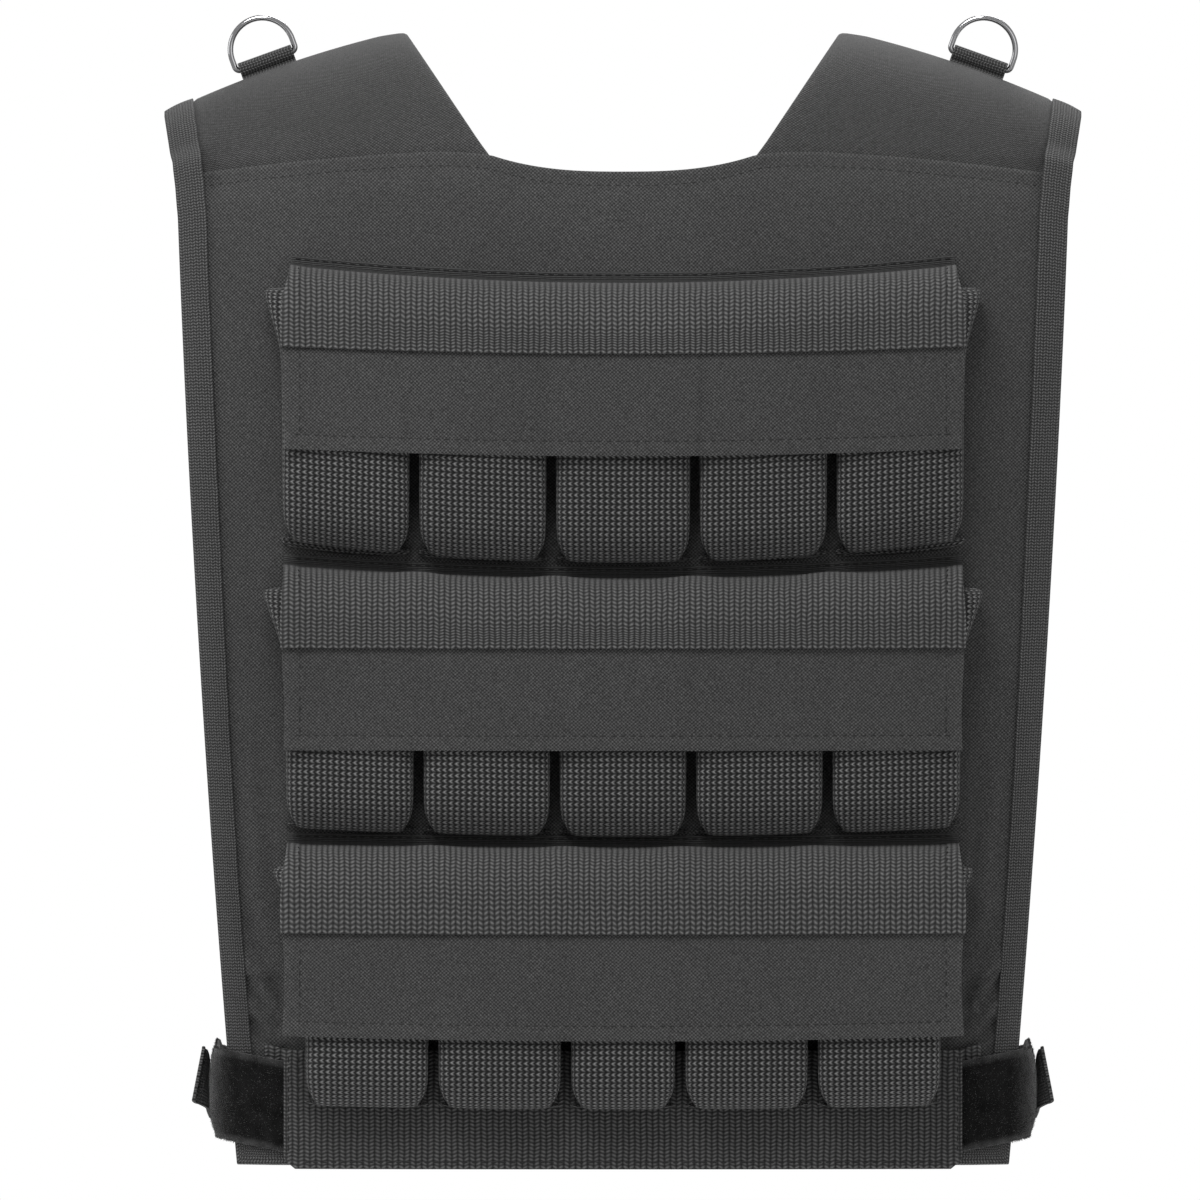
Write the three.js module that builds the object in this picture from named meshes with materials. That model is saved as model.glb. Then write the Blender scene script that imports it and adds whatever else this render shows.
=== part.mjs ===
// A weighted vest, worn: two curved cloth panels joined by shoulder pads that pass over the shoulders, each panel with
// three rows of five filled weight pockets under webbing and cloth flaps, a wide webbing band at the hem, a belt round
// each side, webbing binding on the free edges and a D-ring in a webbing loop on each shoulder.
// Millimetres. +Z is up and the front faces -Y. The origin lies midway between the shoulders, where the pads rest.
import * as THREE from "three";

// Body form that the cloth follows: its half depth, how far the sides sweep back, and the line over the shoulders.
const chestDepth = 112; // from the middle plane to the cloth at the breastbone
const sideSweep = 46; // how much nearer the middle plane the cloth is out at the shoulder tips
const sidePower = 2.4;
const waistTaper = 12; // how much shallower the hem is than the chest
const chestDrop = 150; // below this level the cloth hangs, above it the cloth turns over the shoulder
const shoulderPower = 2.2; // exponent of the rounded turn over the shoulder
const crestRise = 28.7; // the shoulder line's height at the neck's middle
const crestFall = 46.5; // how far the shoulder line falls from there to the tip

// Cut of the cloth, as half widths and drops below the origin, seen from straight in front.
const shoulderHalf = 200.5;
const chestHalf = 193.8;
const hemHalf = 168;
const sideBulge = 2.4; // how far the side edges swell between the armhole and the hem
const armholeDrop = 66; // where the side edge starts to flare towards the shoulder
const hemDrop = 479.5;
const neckHalf = 58.5; // neckline's half width at the front of the shoulder pad
const neckDrop = 44.4; // neckline's lowest point
const neckDip = 7.4; // how far the neckline sags between the pads
const seamPeakHalf = 80; // the seam over each pad is highest here
const seamPeakRise = 1.4; // above the neckline's corner
const seamFall = 9.9; // from that peak to the side edge
const crestNeckHalf = 95; // the pad's inner edge on the shoulder line
const padOverlap = 15; // how far a pad's end reaches behind the panel
const padTuck = 1.2; // how much deeper the pad's outer face lies at that end

// Thicknesses and the gaps that neighbours keep.
const gap = 0.3;
const layerGap = 0.7; // between layers that lie on each other along the body's curve
const panelThick = 4;
const padThick = 5;
const clothThick = 1.2;
const webbingThick = 1.5;
const beltThick = 2;
const bindingThick = 1;
const bindingWidth = 12;
const bindingEase = 0.8; // between the binding and the edge in it

// Pockets and flaps. A row's seam, sags and the share of the pocket that shows are in the table below.
const pocketCount = 5;
const rowHalf = 152;
const pocketDepth = 23;
const pocketCorner = 6;
const pocketCrown = 0.6;
const pocketGap = 4.6; // between neighbours, at their bodies
const seamGap = 0.6; // between neighbours, at the sewn lip
const pocketTuck = 3.4; // how much higher a pocket's bottom is at the panel than at its belly
const mouthFlare = 7.5; // how far the end pockets' mouths stand out sideways
const mouthFlareLength = 33;
const mouthDrop = 15; // from the flap's seam down to the pocket's mouth
const flapHalf = 150;
const flapStrip = 5; // sewn strip at the flap's top
const flapRoll = 20; // height in which the flap turns from the panel to the pockets' faces
const flapTuck = 8; // cloth hidden behind the webbing
const webbingDrop = 41; // from the seam to the webbing's lower edge
const clothDrop = 45; // from there to the flap's hem

// Hem band, belts and tabs.
const bandHalf = 149.5;
const bandTop = 431.6;
const bandBottom = 483.8;
const bandCorner = 4.5;
const baseBandInset = 3; // from the binding
const baseBandHeight = 35;
const beltWidth = 40;
const beltTuck = 30; // length hidden behind the band
const beltTurn = 19; // greatest radius of its turn round the side
const beltStandOff = 10; // from the cloth's edge to the belt's inner face
const beltDropAtBand = 458;
const beltDropAtSide = 452;
const beltDropBetween = 447; // halfway round the side
const tabWidth = 25;
const tabLength = 34;
const tabFlick = 5.5; // how far the tab's lower corner stands out
const tabTilt = 0.24; // radians
const tabReach = 52; // distance of the tab's free end in front of the middle plane
const tabDrop = 442;

// D-rings and their loops.
const ringWire = 2.5;
const ringInside = 25.6; // clear width
const ringLeg = 5.4;
const ringCorner = 2.2;
const ringEase = 0.65; // between the wire and the loop round it
const loopWidth = 25;
const loopThick = 1.4;
const loopRise = 4.6; // from the pad to the ring's pivot
const ringHalf = 156; // distance of a ring from the middle

// The three rows, as shares: seam of hemDrop, webbing of webbingDrop, show of the flap's whole drop and lip of
// flapStrip; the sags, at the middle of the row, are shares of rowHalf. lean is 1 where the pockets' lower ends lie on
// the hem band. pocketShares are the five pockets' shares of the row, and rowShare is the row's share of the widest.
const rowTable = [
  {
    seam: 0.168,
    webbing: 1,
    show: 0.466,
    lip: 1,
    seamSag: 0.055,
    webbingSag: 0.023,
    hemSag: 0.023,
    bottomSag: 0.066,
    lean: 0,
    pocketShares: [1, 1, 1.05, 1, 1],
    rowShare: 1,
  },
  {
    seam: 0.444,
    webbing: 1.01,
    show: 0.394,
    lip: 0.1,
    seamSag: 0.037,
    webbingSag: 0.002,
    hemSag: 0.002,
    bottomSag: 0.026,
    lean: 0,
    pocketShares: [1.01, 1, 1, 1, 1.01],
    rowShare: 0.99,
  },
  {
    seam: 0.7,
    webbing: 1.08,
    show: 0.355,
    lip: 0.1,
    seamSag: 0.009,
    webbingSag: 0.003,
    hemSag: 0.015,
    bottomSag: 0.011,
    lean: 1,
    pocketShares: [1, 1, 0.86, 1, 1],
    rowShare: 0.933,
  },
];

// Levels above the body surface, where each layer lies.
const panelInner = layerGap;
const panelOuter = panelInner + panelThick;
const rowLevel = panelOuter + layerGap;
const baseBandOuter = rowLevel + clothThick;
const beltInner = Math.max(baseBandOuter, panelOuter + bindingEase + bindingThick) + layerGap;
const bandInner = beltInner + beltThick + layerGap;
const bandOuter = bandInner + webbingThick;
const flapClothInner = pocketDepth + pocketCrown + 1.2 * layerGap; // above the row's own level
const flapReach = flapClothInner + clothThick + gap;

const mix = (a, b, t) => a + (b - a) * t;
const clamp01 = (t) => Math.min(1, Math.max(0, t));
const smooth = (t) => clamp01(t) ** 2 * (3 - 2 * clamp01(t));

// Height of the shoulder line at a distance x from the middle.
function crestHeight(x) {
  return crestRise - crestFall * (x / shoulderHalf) ** 2;
}

// Half depth of the body surface, front or back, before it turns over the shoulder.
function hangingDepth(x, z) {
  const below = Math.max(0, (-chestDrop - z) / (hemDrop - chestDrop));
  return chestDepth - waistTaper * below ** 1.5 - sideSweep * Math.abs(x / shoulderHalf) ** sidePower;
}

// Half depth of the body surface at a point seen from the front.
function bodyDepth(x, z) {
  const rise = clamp01((z + chestDrop) / (crestHeight(x) + chestDrop));
  return hangingDepth(x, z) * (1 - rise ** shoulderPower) ** (1 / shoulderPower);
}

// Outward normal of the body surface; facing is -1 on the front and 1 on the back.
function bodyNormal(x, z, facing) {
  const step = 0.5;
  const slopeX = (bodyDepth(x + step, z) - bodyDepth(x - step, z)) / (2 * step);
  const slopeZ = (bodyDepth(x, z + step) - bodyDepth(x, z - step)) / (2 * step);
  return new THREE.Vector3(-slopeX, facing, -slopeZ).normalize();
}

// Point at a level above the body surface, square out from (x, z) on it.
function onBody(x, z, level, facing) {
  const foot = new THREE.Vector3(x, facing * bodyDepth(x, z), z);
  return foot.addScaledVector(bodyNormal(x, z, facing), level);
}

// Where on the body surface the point stands whose place at a level above it is seen at (x, z) from straight in front.
function footOf(x, z, level) {
  const foot = { x, z };
  for (let round = 0; round < 4; round++) {
    const normal = bodyNormal(foot.x, foot.z, -1);
    foot.x = x - level * normal.x;
    foot.z = z - level * normal.z;
  }
  return foot;
}

// Point at a level above the body surface that is seen at (x, z) from straight in front or behind.
function seenAt(x, z, level, facing) {
  const foot = footOf(x, z, level);
  return onBody(foot.x, foot.z, level, facing);
}

// Point on the turn over the shoulder; turn runs from 0 at chest level in front, by 0.5 on the crest, to 1 at the back.
function overShoulder(x, turn) {
  const angle = Math.PI * turn;
  const across = Math.sign(Math.cos(angle)) * Math.abs(Math.cos(angle)) ** (2 / shoulderPower);
  const up = Math.sin(angle) ** (2 / shoulderPower);
  return new THREE.Vector3(x, -hangingDepth(x, 0) * across, mix(-chestDrop, crestHeight(x), up));
}

// Outward normal there.
function shoulderNormal(x, turn) {
  const step = 0.002;
  const along = overShoulder(x, turn + step).sub(overShoulder(x, turn - step));
  const sideways = overShoulder(x + 0.5, turn).sub(overShoulder(x - 0.5, turn));
  return sideways.cross(along).normalize();
}

// The turn at which the shoulder surface has a given height, on its front half.
function turnAtHeight(x, z) {
  const up = clamp01((z + chestDrop) / (crestHeight(x) + chestDrop));
  return Math.asin(up ** (shoulderPower / 2)) / Math.PI;
}

// Half width of the panels and pads at a height.
function edgeHalf(z) {
  const up = clamp01((z + hemDrop) / (hemDrop - armholeDrop));
  const hanging = mix(hemHalf, chestHalf, up) + sideBulge * 4 * up * (1 - up);
  const flare = clamp01((z + armholeDrop) / (armholeDrop + crestHeight(shoulderHalf)));
  return hanging + (shoulderHalf - chestHalf) * flare ** 1.2;
}

// Half distance of a pad's inner edge at a height.
function padInnerHalf(z) {
  const corner = neckDip - neckDrop;
  return mix(neckHalf, crestNeckHalf, clamp01((z - corner) / (crestHeight(crestNeckHalf) - corner)));
}

// Height of a panel's top edge: the neckline, and beside it the seam over the pad.
function panelTop(x) {
  const away = Math.abs(x);
  const corner = neckDip - neckDrop;
  if (away < neckHalf) return -neckDrop + neckDip * (away / neckHalf) ** 2.7;
  const peak = corner + seamPeakRise;
  if (away < seamPeakHalf) return peak - seamPeakRise * ((seamPeakHalf - away) / (seamPeakHalf - neckHalf)) ** 2;
  return peak - seamFall * ((away - seamPeakHalf) / (chestHalf - seamPeakHalf)) ** 1.5;
}

// Materials, with the colours of the photographed cloths and of bright nickel wire.
const cloth = new THREE.MeshStandardMaterial({ color: 0x434343, roughness: 0.9, metalness: 0 });
const webbing = new THREE.MeshStandardMaterial({ color: 0x464646, roughness: 0.85, metalness: 0 });
const loopPile = new THREE.MeshStandardMaterial({ color: 0x1f1f1f, roughness: 1, metalness: 0 });
const nickel = new THREE.MeshStandardMaterial({ color: 0xd8d8da, roughness: 0.15, metalness: 1 });

const vest = new THREE.Group();

// Adds a mesh made of points and triangles, turned right side out.
function addSolid(name, material, points, triangles) {
  let volume = 0;
  for (const [a, b, c] of triangles) {
    volume += points[a].dot(new THREE.Vector3().crossVectors(points[b], points[c]));
  }
  const order = volume < 0 ? triangles.map(([a, b, c]) => [a, c, b]) : triangles;
  const geometry = new THREE.BufferGeometry().setFromPoints(points);
  geometry.setIndex(order.flat());
  geometry.computeVertexNormals();
  const mesh = new THREE.Mesh(geometry, material);
  mesh.name = name;
  vest.add(mesh);
}

// A closed sheet between two faces; outer and inner give their points at column i and row j.
function addSheet(name, material, columns, rows, outer, inner) {
  const points = [];
  for (const face of [outer, inner]) {
    for (let j = 0; j <= rows; j++) for (let i = 0; i <= columns; i++) points.push(face(i, j));
  }
  const size = (columns + 1) * (rows + 1);
  const at = (i, j) => j * (columns + 1) + i;
  const triangles = [];
  for (let j = 0; j < rows; j++) {
    for (let i = 0; i < columns; i++) {
      const [a, b, c, d] = [at(i, j), at(i + 1, j), at(i + 1, j + 1), at(i, j + 1)];
      triangles.push([a, b, c], [a, c, d], [size + a, size + c, size + b], [size + a, size + d, size + c]);
    }
  }
  const rim = [];
  for (let i = 0; i < columns; i++) rim.push(at(i, 0));
  for (let j = 0; j < rows; j++) rim.push(at(columns, j));
  for (let i = columns; i > 0; i--) rim.push(at(i, rows));
  for (let j = rows; j > 0; j--) rim.push(at(0, j));
  rim.forEach((a, k) => {
    const b = rim[(k + 1) % rim.length];
    triangles.push([b, a, size + a], [b, size + a, size + b]);
  });
  addSolid(name, material, points, triangles);
}

// A closed solid through rings of equally many points; looped joins the last ring to the first.
function addLoft(name, material, rings, looped = false) {
  const count = rings[0].length;
  const triangles = [];
  const steps = looped ? rings.length : rings.length - 1;
  for (let k = 0; k < steps; k++) {
    const next = (k + 1) % rings.length;
    for (let i = 0; i < count; i++) {
      const j = (i + 1) % count;
      triangles.push([k * count + i, k * count + j, next * count + j]);
      triangles.push([k * count + i, next * count + j, next * count + i]);
    }
  }
  const last = (rings.length - 1) * count;
  for (let i = 1; !looped && i < count - 1; i++) {
    triangles.push([0, i + 1, i], [last, last + i, last + i + 1]);
  }
  addSolid(name, material, rings.flat(), triangles);
}

const faces = [
  { name: "front", facing: -1 },
  { name: "back", facing: 1 },
];
const sides = [
  { name: "left", sign: 1 },
  { name: "right", sign: -1 },
];

const panelColumns = 12;
const panelRows = 9;

// Where a panel's grid point stands on the body surface; the rows lie closer where the cloth turns over the shoulder.
function panelFoot(i, j) {
  const across = mix(-1, 1, i / panelColumns);
  const up = 1 - (1 - j / panelRows) ** 1.8;
  const heightAt = (x) => mix(-hemDrop, panelTop(x), up);
  const z = heightAt(across * edgeHalf(heightAt(across * chestHalf)));
  return footOf(across * edgeHalf(z), heightAt(across * edgeHalf(z)), panelOuter);
}

function addPanel({ name, facing }) {
  const face = (level) => (i, j) => {
    const foot = panelFoot(i, j);
    return onBody(foot.x, foot.z, level, facing);
  };
  addSheet(`${name}_panel`, cloth, panelColumns, panelRows, face(panelOuter), face(panelInner));
}

// Half width at the outer edge of the shoulder surface, found with the height there.
function shoulderEdgeHalf(turn) {
  let x = shoulderHalf;
  for (let round = 0; round < 4; round++) x = edgeHalf(overShoulder(x, turn).z);
  return x;
}

const padStartHeight = neckDip - neckDrop - padOverlap;
const padRows = 12;
const padEndShare = 0.054; // share of the pad's length that lies behind each panel

// Turn at a pad's row, counted from its front end; share runs from its inner edge to its outer one. The second row is
// at the panel's top edge, and all rows meet the crest together.
function padTurn(j, share = 1) {
  if (j > padRows / 2) return 1 - padTurn(padRows - j, share);
  const start = turnAtHeight(mix(neckHalf, shoulderHalf, share), padStartHeight);
  const along = j === 0 ? 0 : mix(padEndShare, 0.5, (j - 1) / (padRows / 2 - 1));
  return mix(start, 1 - start, along);
}

function addShoulderPad({ name, sign }) {
  const columns = 5;
  const face = (level, tuck) => (i, j) => {
    const turn = padTurn(j, i / columns);
    const outer = shoulderEdgeHalf(padTurn(j));
    let inner = crestNeckHalf;
    for (let round = 0; round < 6; round++) inner = padInnerHalf(overShoulder(inner, padTurn(j, 0)).z);
    const x = sign * mix(inner, outer, i / columns);
    const drop = j === 0 || j === padRows ? tuck : 0;
    return overShoulder(x, turn).addScaledVector(shoulderNormal(x, turn), level - drop);
  };
  addSheet(`shoulder_pad_${name}`, cloth, columns, padRows, face(0, padTuck), face(-padThick, 0));
}

// Stations along one free edge, from the middle of the front hem round the corner, up the side and over the shoulder
// to the middle of the back hem. Each has a point, the direction into the cloth, the normal and the layers held there.
function edgeStations(sign) {
  const panelEnd = panelFoot(panelColumns, panelRows);
  const held = (z) => ({
    low: z > padStartHeight - 2 ? -padThick : panelInner,
    high: z < panelEnd.z + 2 ? panelOuter : 0,
  });
  const onPanel = [];
  for (let i = panelColumns / 2; i < panelColumns; i++) {
    const foot = panelFoot(i, 0);
    onPanel.push({ x: Math.max(foot.x, gap), z: foot.z, into: [0, 1] });
  }
  onPanel.push({ ...panelFoot(panelColumns, 0), into: [-1, 1] });
  for (let j = 1; panelFoot(panelColumns, j).z < padStartHeight - 12; j++) {
    onPanel.push({ ...panelFoot(panelColumns, j), into: [-1, 0] });
  }
  const stations = onPanel.map(({ x, z, into }) => {
    const normal = bodyNormal(sign * x, z, -1);
    const inward = new THREE.Vector3(sign * into[0], 0, into[1]);
    const length = inward.length();
    inward.addScaledVector(normal, -inward.dot(normal)).setLength(length);
    return { point: onBody(sign * x, z, 0, -1), inward, normal, ...held(z) };
  });
  const steps = [padStartHeight - 10, padStartHeight - 2, panelEnd.z + 2, panelEnd.z + 10];
  const turns = steps.map((z) => turnAtHeight(shoulderHalf, z));
  for (let j = 1; j <= padRows / 2; j++) if (padTurn(j) > turns[3] + 0.01) turns.push(padTurn(j));
  turns.forEach((turn, k) => {
    const x = shoulderEdgeHalf(turn);
    const normal = shoulderNormal(sign * x, turn);
    const inward = new THREE.Vector3(-sign, 0, 0);
    inward.addScaledVector(normal, -inward.dot(normal)).normalize();
    const low = k === 0 ? panelInner : -padThick;
    const high = k < 3 ? panelOuter : 0;
    stations.push({ point: overShoulder(sign * x, turn), inward, normal, low, high });
  });
  const flip = (v) => new THREE.Vector3(v.x, -v.y, v.z);
  const mirrored = stations.slice(0, -1).reverse();
  return [
    ...stations,
    ...mirrored.map(({ point, inward, normal, low, high }) => ({
      point: flip(point),
      inward: flip(inward),
      normal: flip(normal),
      low,
      high,
    })),
  ];
}

function addBinding({ name, sign }) {
  const stations = edgeStations(sign);
  const path = (station, outside) => {
    const thick = outside ? bindingThick : 0;
    const rise = bindingEase + thick;
    const out = -bindingEase - thick;
    const bevel = outside ? bindingThick : 0.2;
    return [
      [bindingWidth, station.high + rise],
      [out + bevel, station.high + rise],
      [out, station.high + rise - bevel],
      [out, station.low - rise + bevel],
      [out + bevel, station.low - rise],
      [bindingWidth, station.low - rise],
    ];
  };
  const face = (outside) => (i, j) => {
    const station = stations[j];
    const [inwards, level] = path(station, outside)[i];
    return station.point
      .clone()
      .addScaledVector(station.inward, inwards)
      .addScaledVector(station.normal, level);
  };
  addSheet(`edge_binding_${name}`, webbing, 5, stations.length - 1, face(true), face(false));
}

// A row's own heights at x, from the table: each is deepest at the middle of the row.
function rowHeights(row, x) {
  const sag = (1 - Math.min(1, (x / rowHalf) ** 2)) * rowHalf;
  const seam = -row.seam * hemDrop;
  const webbingEdge = seam - row.webbing * webbingDrop;
  const hem = webbingEdge - clothDrop;
  return {
    seam: seam - row.seamSag * sag,
    webbingEdge: webbingEdge - row.webbingSag * sag,
    hem: hem - row.hemSag * sag,
    bottom: hem - row.show * (webbingDrop + clothDrop) - row.bottomSag * sag,
  };
}

// The level at which a row lies: on the panel, or at the hem on the band.
function rowBase(row, z) {
  const top = -row.seam * hemDrop;
  return mix(rowLevel, bandOuter + gap, row.lean * Math.max(0, (top - z) / (top + bandTop)));
}

// Left ends, right ends and middles of a row's pockets.
function pocketSpans(row) {
  const total = row.pocketShares.reduce((a, b) => a + b, 0);
  let start = -rowHalf * row.rowShare;
  return row.pocketShares.map((share) => {
    const end = start + (2 * rowHalf * row.rowShare * share) / total;
    const span = [start, end];
    start = end;
    return span;
  });
}

// Round a pocket from the middle of its back: the corners are arcs and the face is crowned.
function pocketOutline(half, depth) {
  const corner = Math.min(pocketCorner, depth * 0.7);
  const arc = [0, Math.PI / 4, Math.PI / 2].map((angle) => [
    half - corner * (1 - Math.cos(angle)),
    depth - corner * (1 - Math.sin(angle)),
  ]);
  const right = [[half, 0], ...arc];
  const crown = pocketCrown * (depth / pocketDepth);
  const left = right.map(([a, d]) => [-a, d]).reverse();
  return [[0, 0], ...right, [0, depth + crown], ...left];
}

// Up a pocket: the sewn lip, the belly, the body and the mouth. rise is in millimetres from the lip's end, the
// bottom or the mouth, depth is a share of pocketDepth and tuck a share of pocketTuck, by which the back is higher.
// The bent section is needed where a pocket flares or follows the turn over the chest.
const pocketSections = [
  { from: "lip", rise: 0, depth: 0.065, tuck: 0, sewn: true },
  { from: "bottom", rise: 0.9 * pocketTuck, depth: 0.065, tuck: 0, sewn: true },
  { from: "bottom", rise: 0, depth: 0.5, tuck: 1 },
  { from: "bottom", rise: 3, depth: 0.85, tuck: 0.9 },
  { from: "bottom", rise: 12, depth: 1, tuck: 0 },
  { from: "mouth", rise: -mouthFlareLength, depth: 1, tuck: 0, bent: true },
  { from: "mouth", rise: -10, depth: 1, tuck: 0 },
  { from: "mouth", rise: 0, depth: 0.5, tuck: 0 },
];

function addPocket({ name, facing }, rowIndex, column) {
  const row = rowTable[rowIndex];
  const [start, end] = pocketSpans(row)[column];
  const middle = (start + end) / 2;
  const outward = column === 0 ? -1 : column === pocketCount - 1 ? 1 : 0;
  const sections = pocketSections.filter(({ bent }) => outward !== 0 || rowIndex === 0 || !bent);
  const rings = sections.map(({ from, rise, depth, tuck, sewn }) => {
    const half = (end - start - (sewn ? seamGap : pocketGap)) / 2;
    const full = depth * pocketDepth;
    return pocketOutline(half, full).map(([a, level]) => {
      const x = middle + a;
      const heights = rowHeights(row, x);
      const nextSeam = rowIndex + 1 < rowTable.length ? rowHeights(rowTable[rowIndex + 1], x).seam : -bandBottom;
      const marks = {
        lip: Math.max(heights.bottom - row.lip * flapStrip, nextSeam + 2 * gap),
        bottom: heights.bottom,
        mouth: heights.seam - mouthDrop,
      };
      const z = marks[from] + rise + tuck * pocketTuck * (1 - level / full);
      const nearMouth = clamp01(1 - (marks.mouth - z) / mouthFlareLength);
      const onOuterSide = outward !== 0 && Math.sign(a) === outward ? 1 : 0;
      const shift = outward * mouthFlare * nearMouth * onOuterSide * Math.abs(a / half) ** 4;
      return seenAt(x + shift, z, rowBase(row, z) + level, facing);
    });
  });
  addLoft(`${name}_pocket_r${rowIndex + 1}_c${column + 1}`, webbing, rings);
}

// From the sewn strip out over the pockets' mouths and down their faces: out is a share of flapReach, down in
// millimetres below the seam.
const flapPath = [
  { out: 0, down: 0 },
  { out: 0, down: flapStrip },
  { out: 0.38, down: flapStrip + 0.1 * flapRoll },
  { out: 0.8, down: flapStrip + 0.38 * flapRoll },
  { out: 1, down: flapStrip + flapRoll },
  { out: 1, down: webbingDrop },
];

function addFlap({ name, facing }, row, rowNumber) {
  const columns = 10;
  const last = flapPath.length - 1;
  const acrossAt = (i) => mix(-flapHalf, flapHalf, i / columns);
  const pathPoint = (x, k) => {
    const heights = rowHeights(row, x);
    const z = k === last ? heights.webbingEdge : heights.seam - flapPath[k].down;
    return [rowBase(row, z) + flapPath[k].out * flapReach, z];
  };
  const face = (thick) => (i, k) => {
    const x = acrossAt(i);
    const [before, here, after] = [Math.max(0, k - 1), k, Math.min(last, k + 1)].map((m) => pathPoint(x, m));
    const run = Math.hypot(after[0] - before[0], after[1] - before[1]);
    const level = here[0] + (thick * (before[1] - after[1])) / run;
    const z = here[1] + (thick * (after[0] - before[0])) / run;
    return seenAt(x, z, level, facing);
  };
  addSheet(`${name}_flap_webbing_r${rowNumber}`, webbing, columns, last, face(webbingThick), face(0));

  const hangRows = 1;
  const hanging = (thick) => (i, j) => {
    const x = acrossAt(i);
    const heights = rowHeights(row, x);
    const z = mix(heights.webbingEdge + flapTuck, heights.hem, j / hangRows);
    return seenAt(x, z, rowBase(row, z) + flapClothInner + thick, facing);
  };
  addSheet(`${name}_flap_cloth_r${rowNumber}`, cloth, columns, hangRows, hanging(clothThick), hanging(0));
}

// A band across the hem; its lower corners are cut off by the corner size.
function addBand(name, facing, { half, top, bottom, corner, inner, thick }) {
  const columns = 10;
  const inset = corner / half;
  const shares = [-1, -1 + inset];
  for (let i = 1; i < columns; i++) shares.push(mix(-1 + inset, 1 - inset, i / columns));
  shares.push(1 - inset, 1);
  const face = (level) => (i, j) => {
    const share = shares[i];
    const lift = Math.abs(share) === 1 ? corner : 0;
    const z = j === 0 ? -bottom + lift : -top;
    return seenAt(share * half, z, level, facing);
  };
  addSheet(name, webbing, shares.length - 1, 1, face(inner + thick), face(inner));
}

// Distance of a belt's inner face from the middle, at the side.
const beltSideHalf = edgeHalf(-beltDropAtSide) + beltStandOff;

// A belt's edge on one face, from behind the front band round the side to behind the back band; up is the edge's
// height above the belt's middle line and thick the face's distance from the inner one.
function beltEdge(sign, up, thick) {
  const leaveHalf = edgeHalf(-beltDropAtSide);
  const front = [0, 0.33, 0.67, 1].map((share) => {
    const x = mix(bandHalf - beltTuck, leaveHalf, share);
    const z = up - mix(beltDropAtBand, beltDropAtSide, share);
    const foot = footOf(x, z, beltInner);
    return onBody(foot.x, foot.z, beltInner + thick, -1);
  });
  const leave = footOf(leaveHalf, up - beltDropAtSide, beltInner);
  const normal = bodyNormal(leave.x, leave.z, -1);
  const start = onBody(leave.x, leave.z, beltInner, -1);
  const startAngle = Math.atan2(-normal.y, normal.x);
  const radius = Math.min(beltTurn, (beltSideHalf - start.x) / (1 - Math.cos(startAngle)));
  const centreX = beltSideHalf - radius;
  const centreY = start.y + radius * Math.sin(startAngle);
  const turns = 5;
  for (let k = 1; k <= turns; k++) {
    const angle = startAngle * (1 - k / turns);
    const reach = radius + thick;
    const x = centreX + reach * Math.cos(angle);
    const z = start.z + (mix(beltDropAtSide, beltDropBetween, k / turns) - beltDropAtSide) * -0.5;
    front.push(new THREE.Vector3(x, centreY - reach * Math.sin(angle), z));
  }
  const middle = new THREE.Vector3(beltSideHalf + thick, 0, up - beltDropBetween);
  const back = front.map(({ x, y, z }) => new THREE.Vector3(x, -y, z)).reverse();
  return [...front, middle, ...back].map(({ x, y, z }) => new THREE.Vector3(sign * x, y, z));
}

function addBelt({ name, sign }) {
  const face = (thick) => {
    const edges = [beltEdge(sign, -beltWidth / 2, thick), beltEdge(sign, beltWidth / 2, thick)];
    return (i, j) => edges[j][i];
  };
  const columns = beltEdge(sign, 0, 0).length - 1;
  addSheet(`belt_${name}`, loopPile, columns, 1, face(beltThick), face(0));
}

// A pull tab of webbing that lies on the belt's outer face, with the lower corner of its free end bent outwards.
function addBeltTab({ name, sign }) {
  const steps = 5;
  const face = (thick) => (i, j) => {
    const along = i / steps;
    const lift = tabFlick * smooth((along - 0.5) / 0.5) * (j === 0 ? 1 : 0.15);
    const up = j === 0 ? -tabWidth / 2 : tabWidth / 2;
    const forward = tabReach - tabLength * (1 - along);
    const y = up * Math.sin(tabTilt) - forward * Math.cos(tabTilt);
    const z = up * Math.cos(tabTilt) + (along - 1) * tabLength * Math.sin(tabTilt) - tabDrop;
    return new THREE.Vector3(sign * (beltSideHalf + beltThick + gap + lift + thick), y, z);
  };
  addSheet(`belt_tab_${name}`, webbing, steps, 1, face(webbingThick), face(0));
}

// A ring's pivot line on the shoulder: its middle, its direction along the crest and the direction straight up from it.
function ringFrame(sign) {
  const slope = (-2 * crestFall * ringHalf) / shoulderHalf ** 2;
  const along = new THREE.Vector3(sign, 0, slope).normalize();
  const up = new THREE.Vector3(-sign * slope, 0, 1).normalize();
  const foot = new THREE.Vector3(sign * ringHalf, 0, crestHeight(ringHalf));
  return { along, up, pivot: foot.clone().addScaledVector(up, gap + loopRise) };
}

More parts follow.
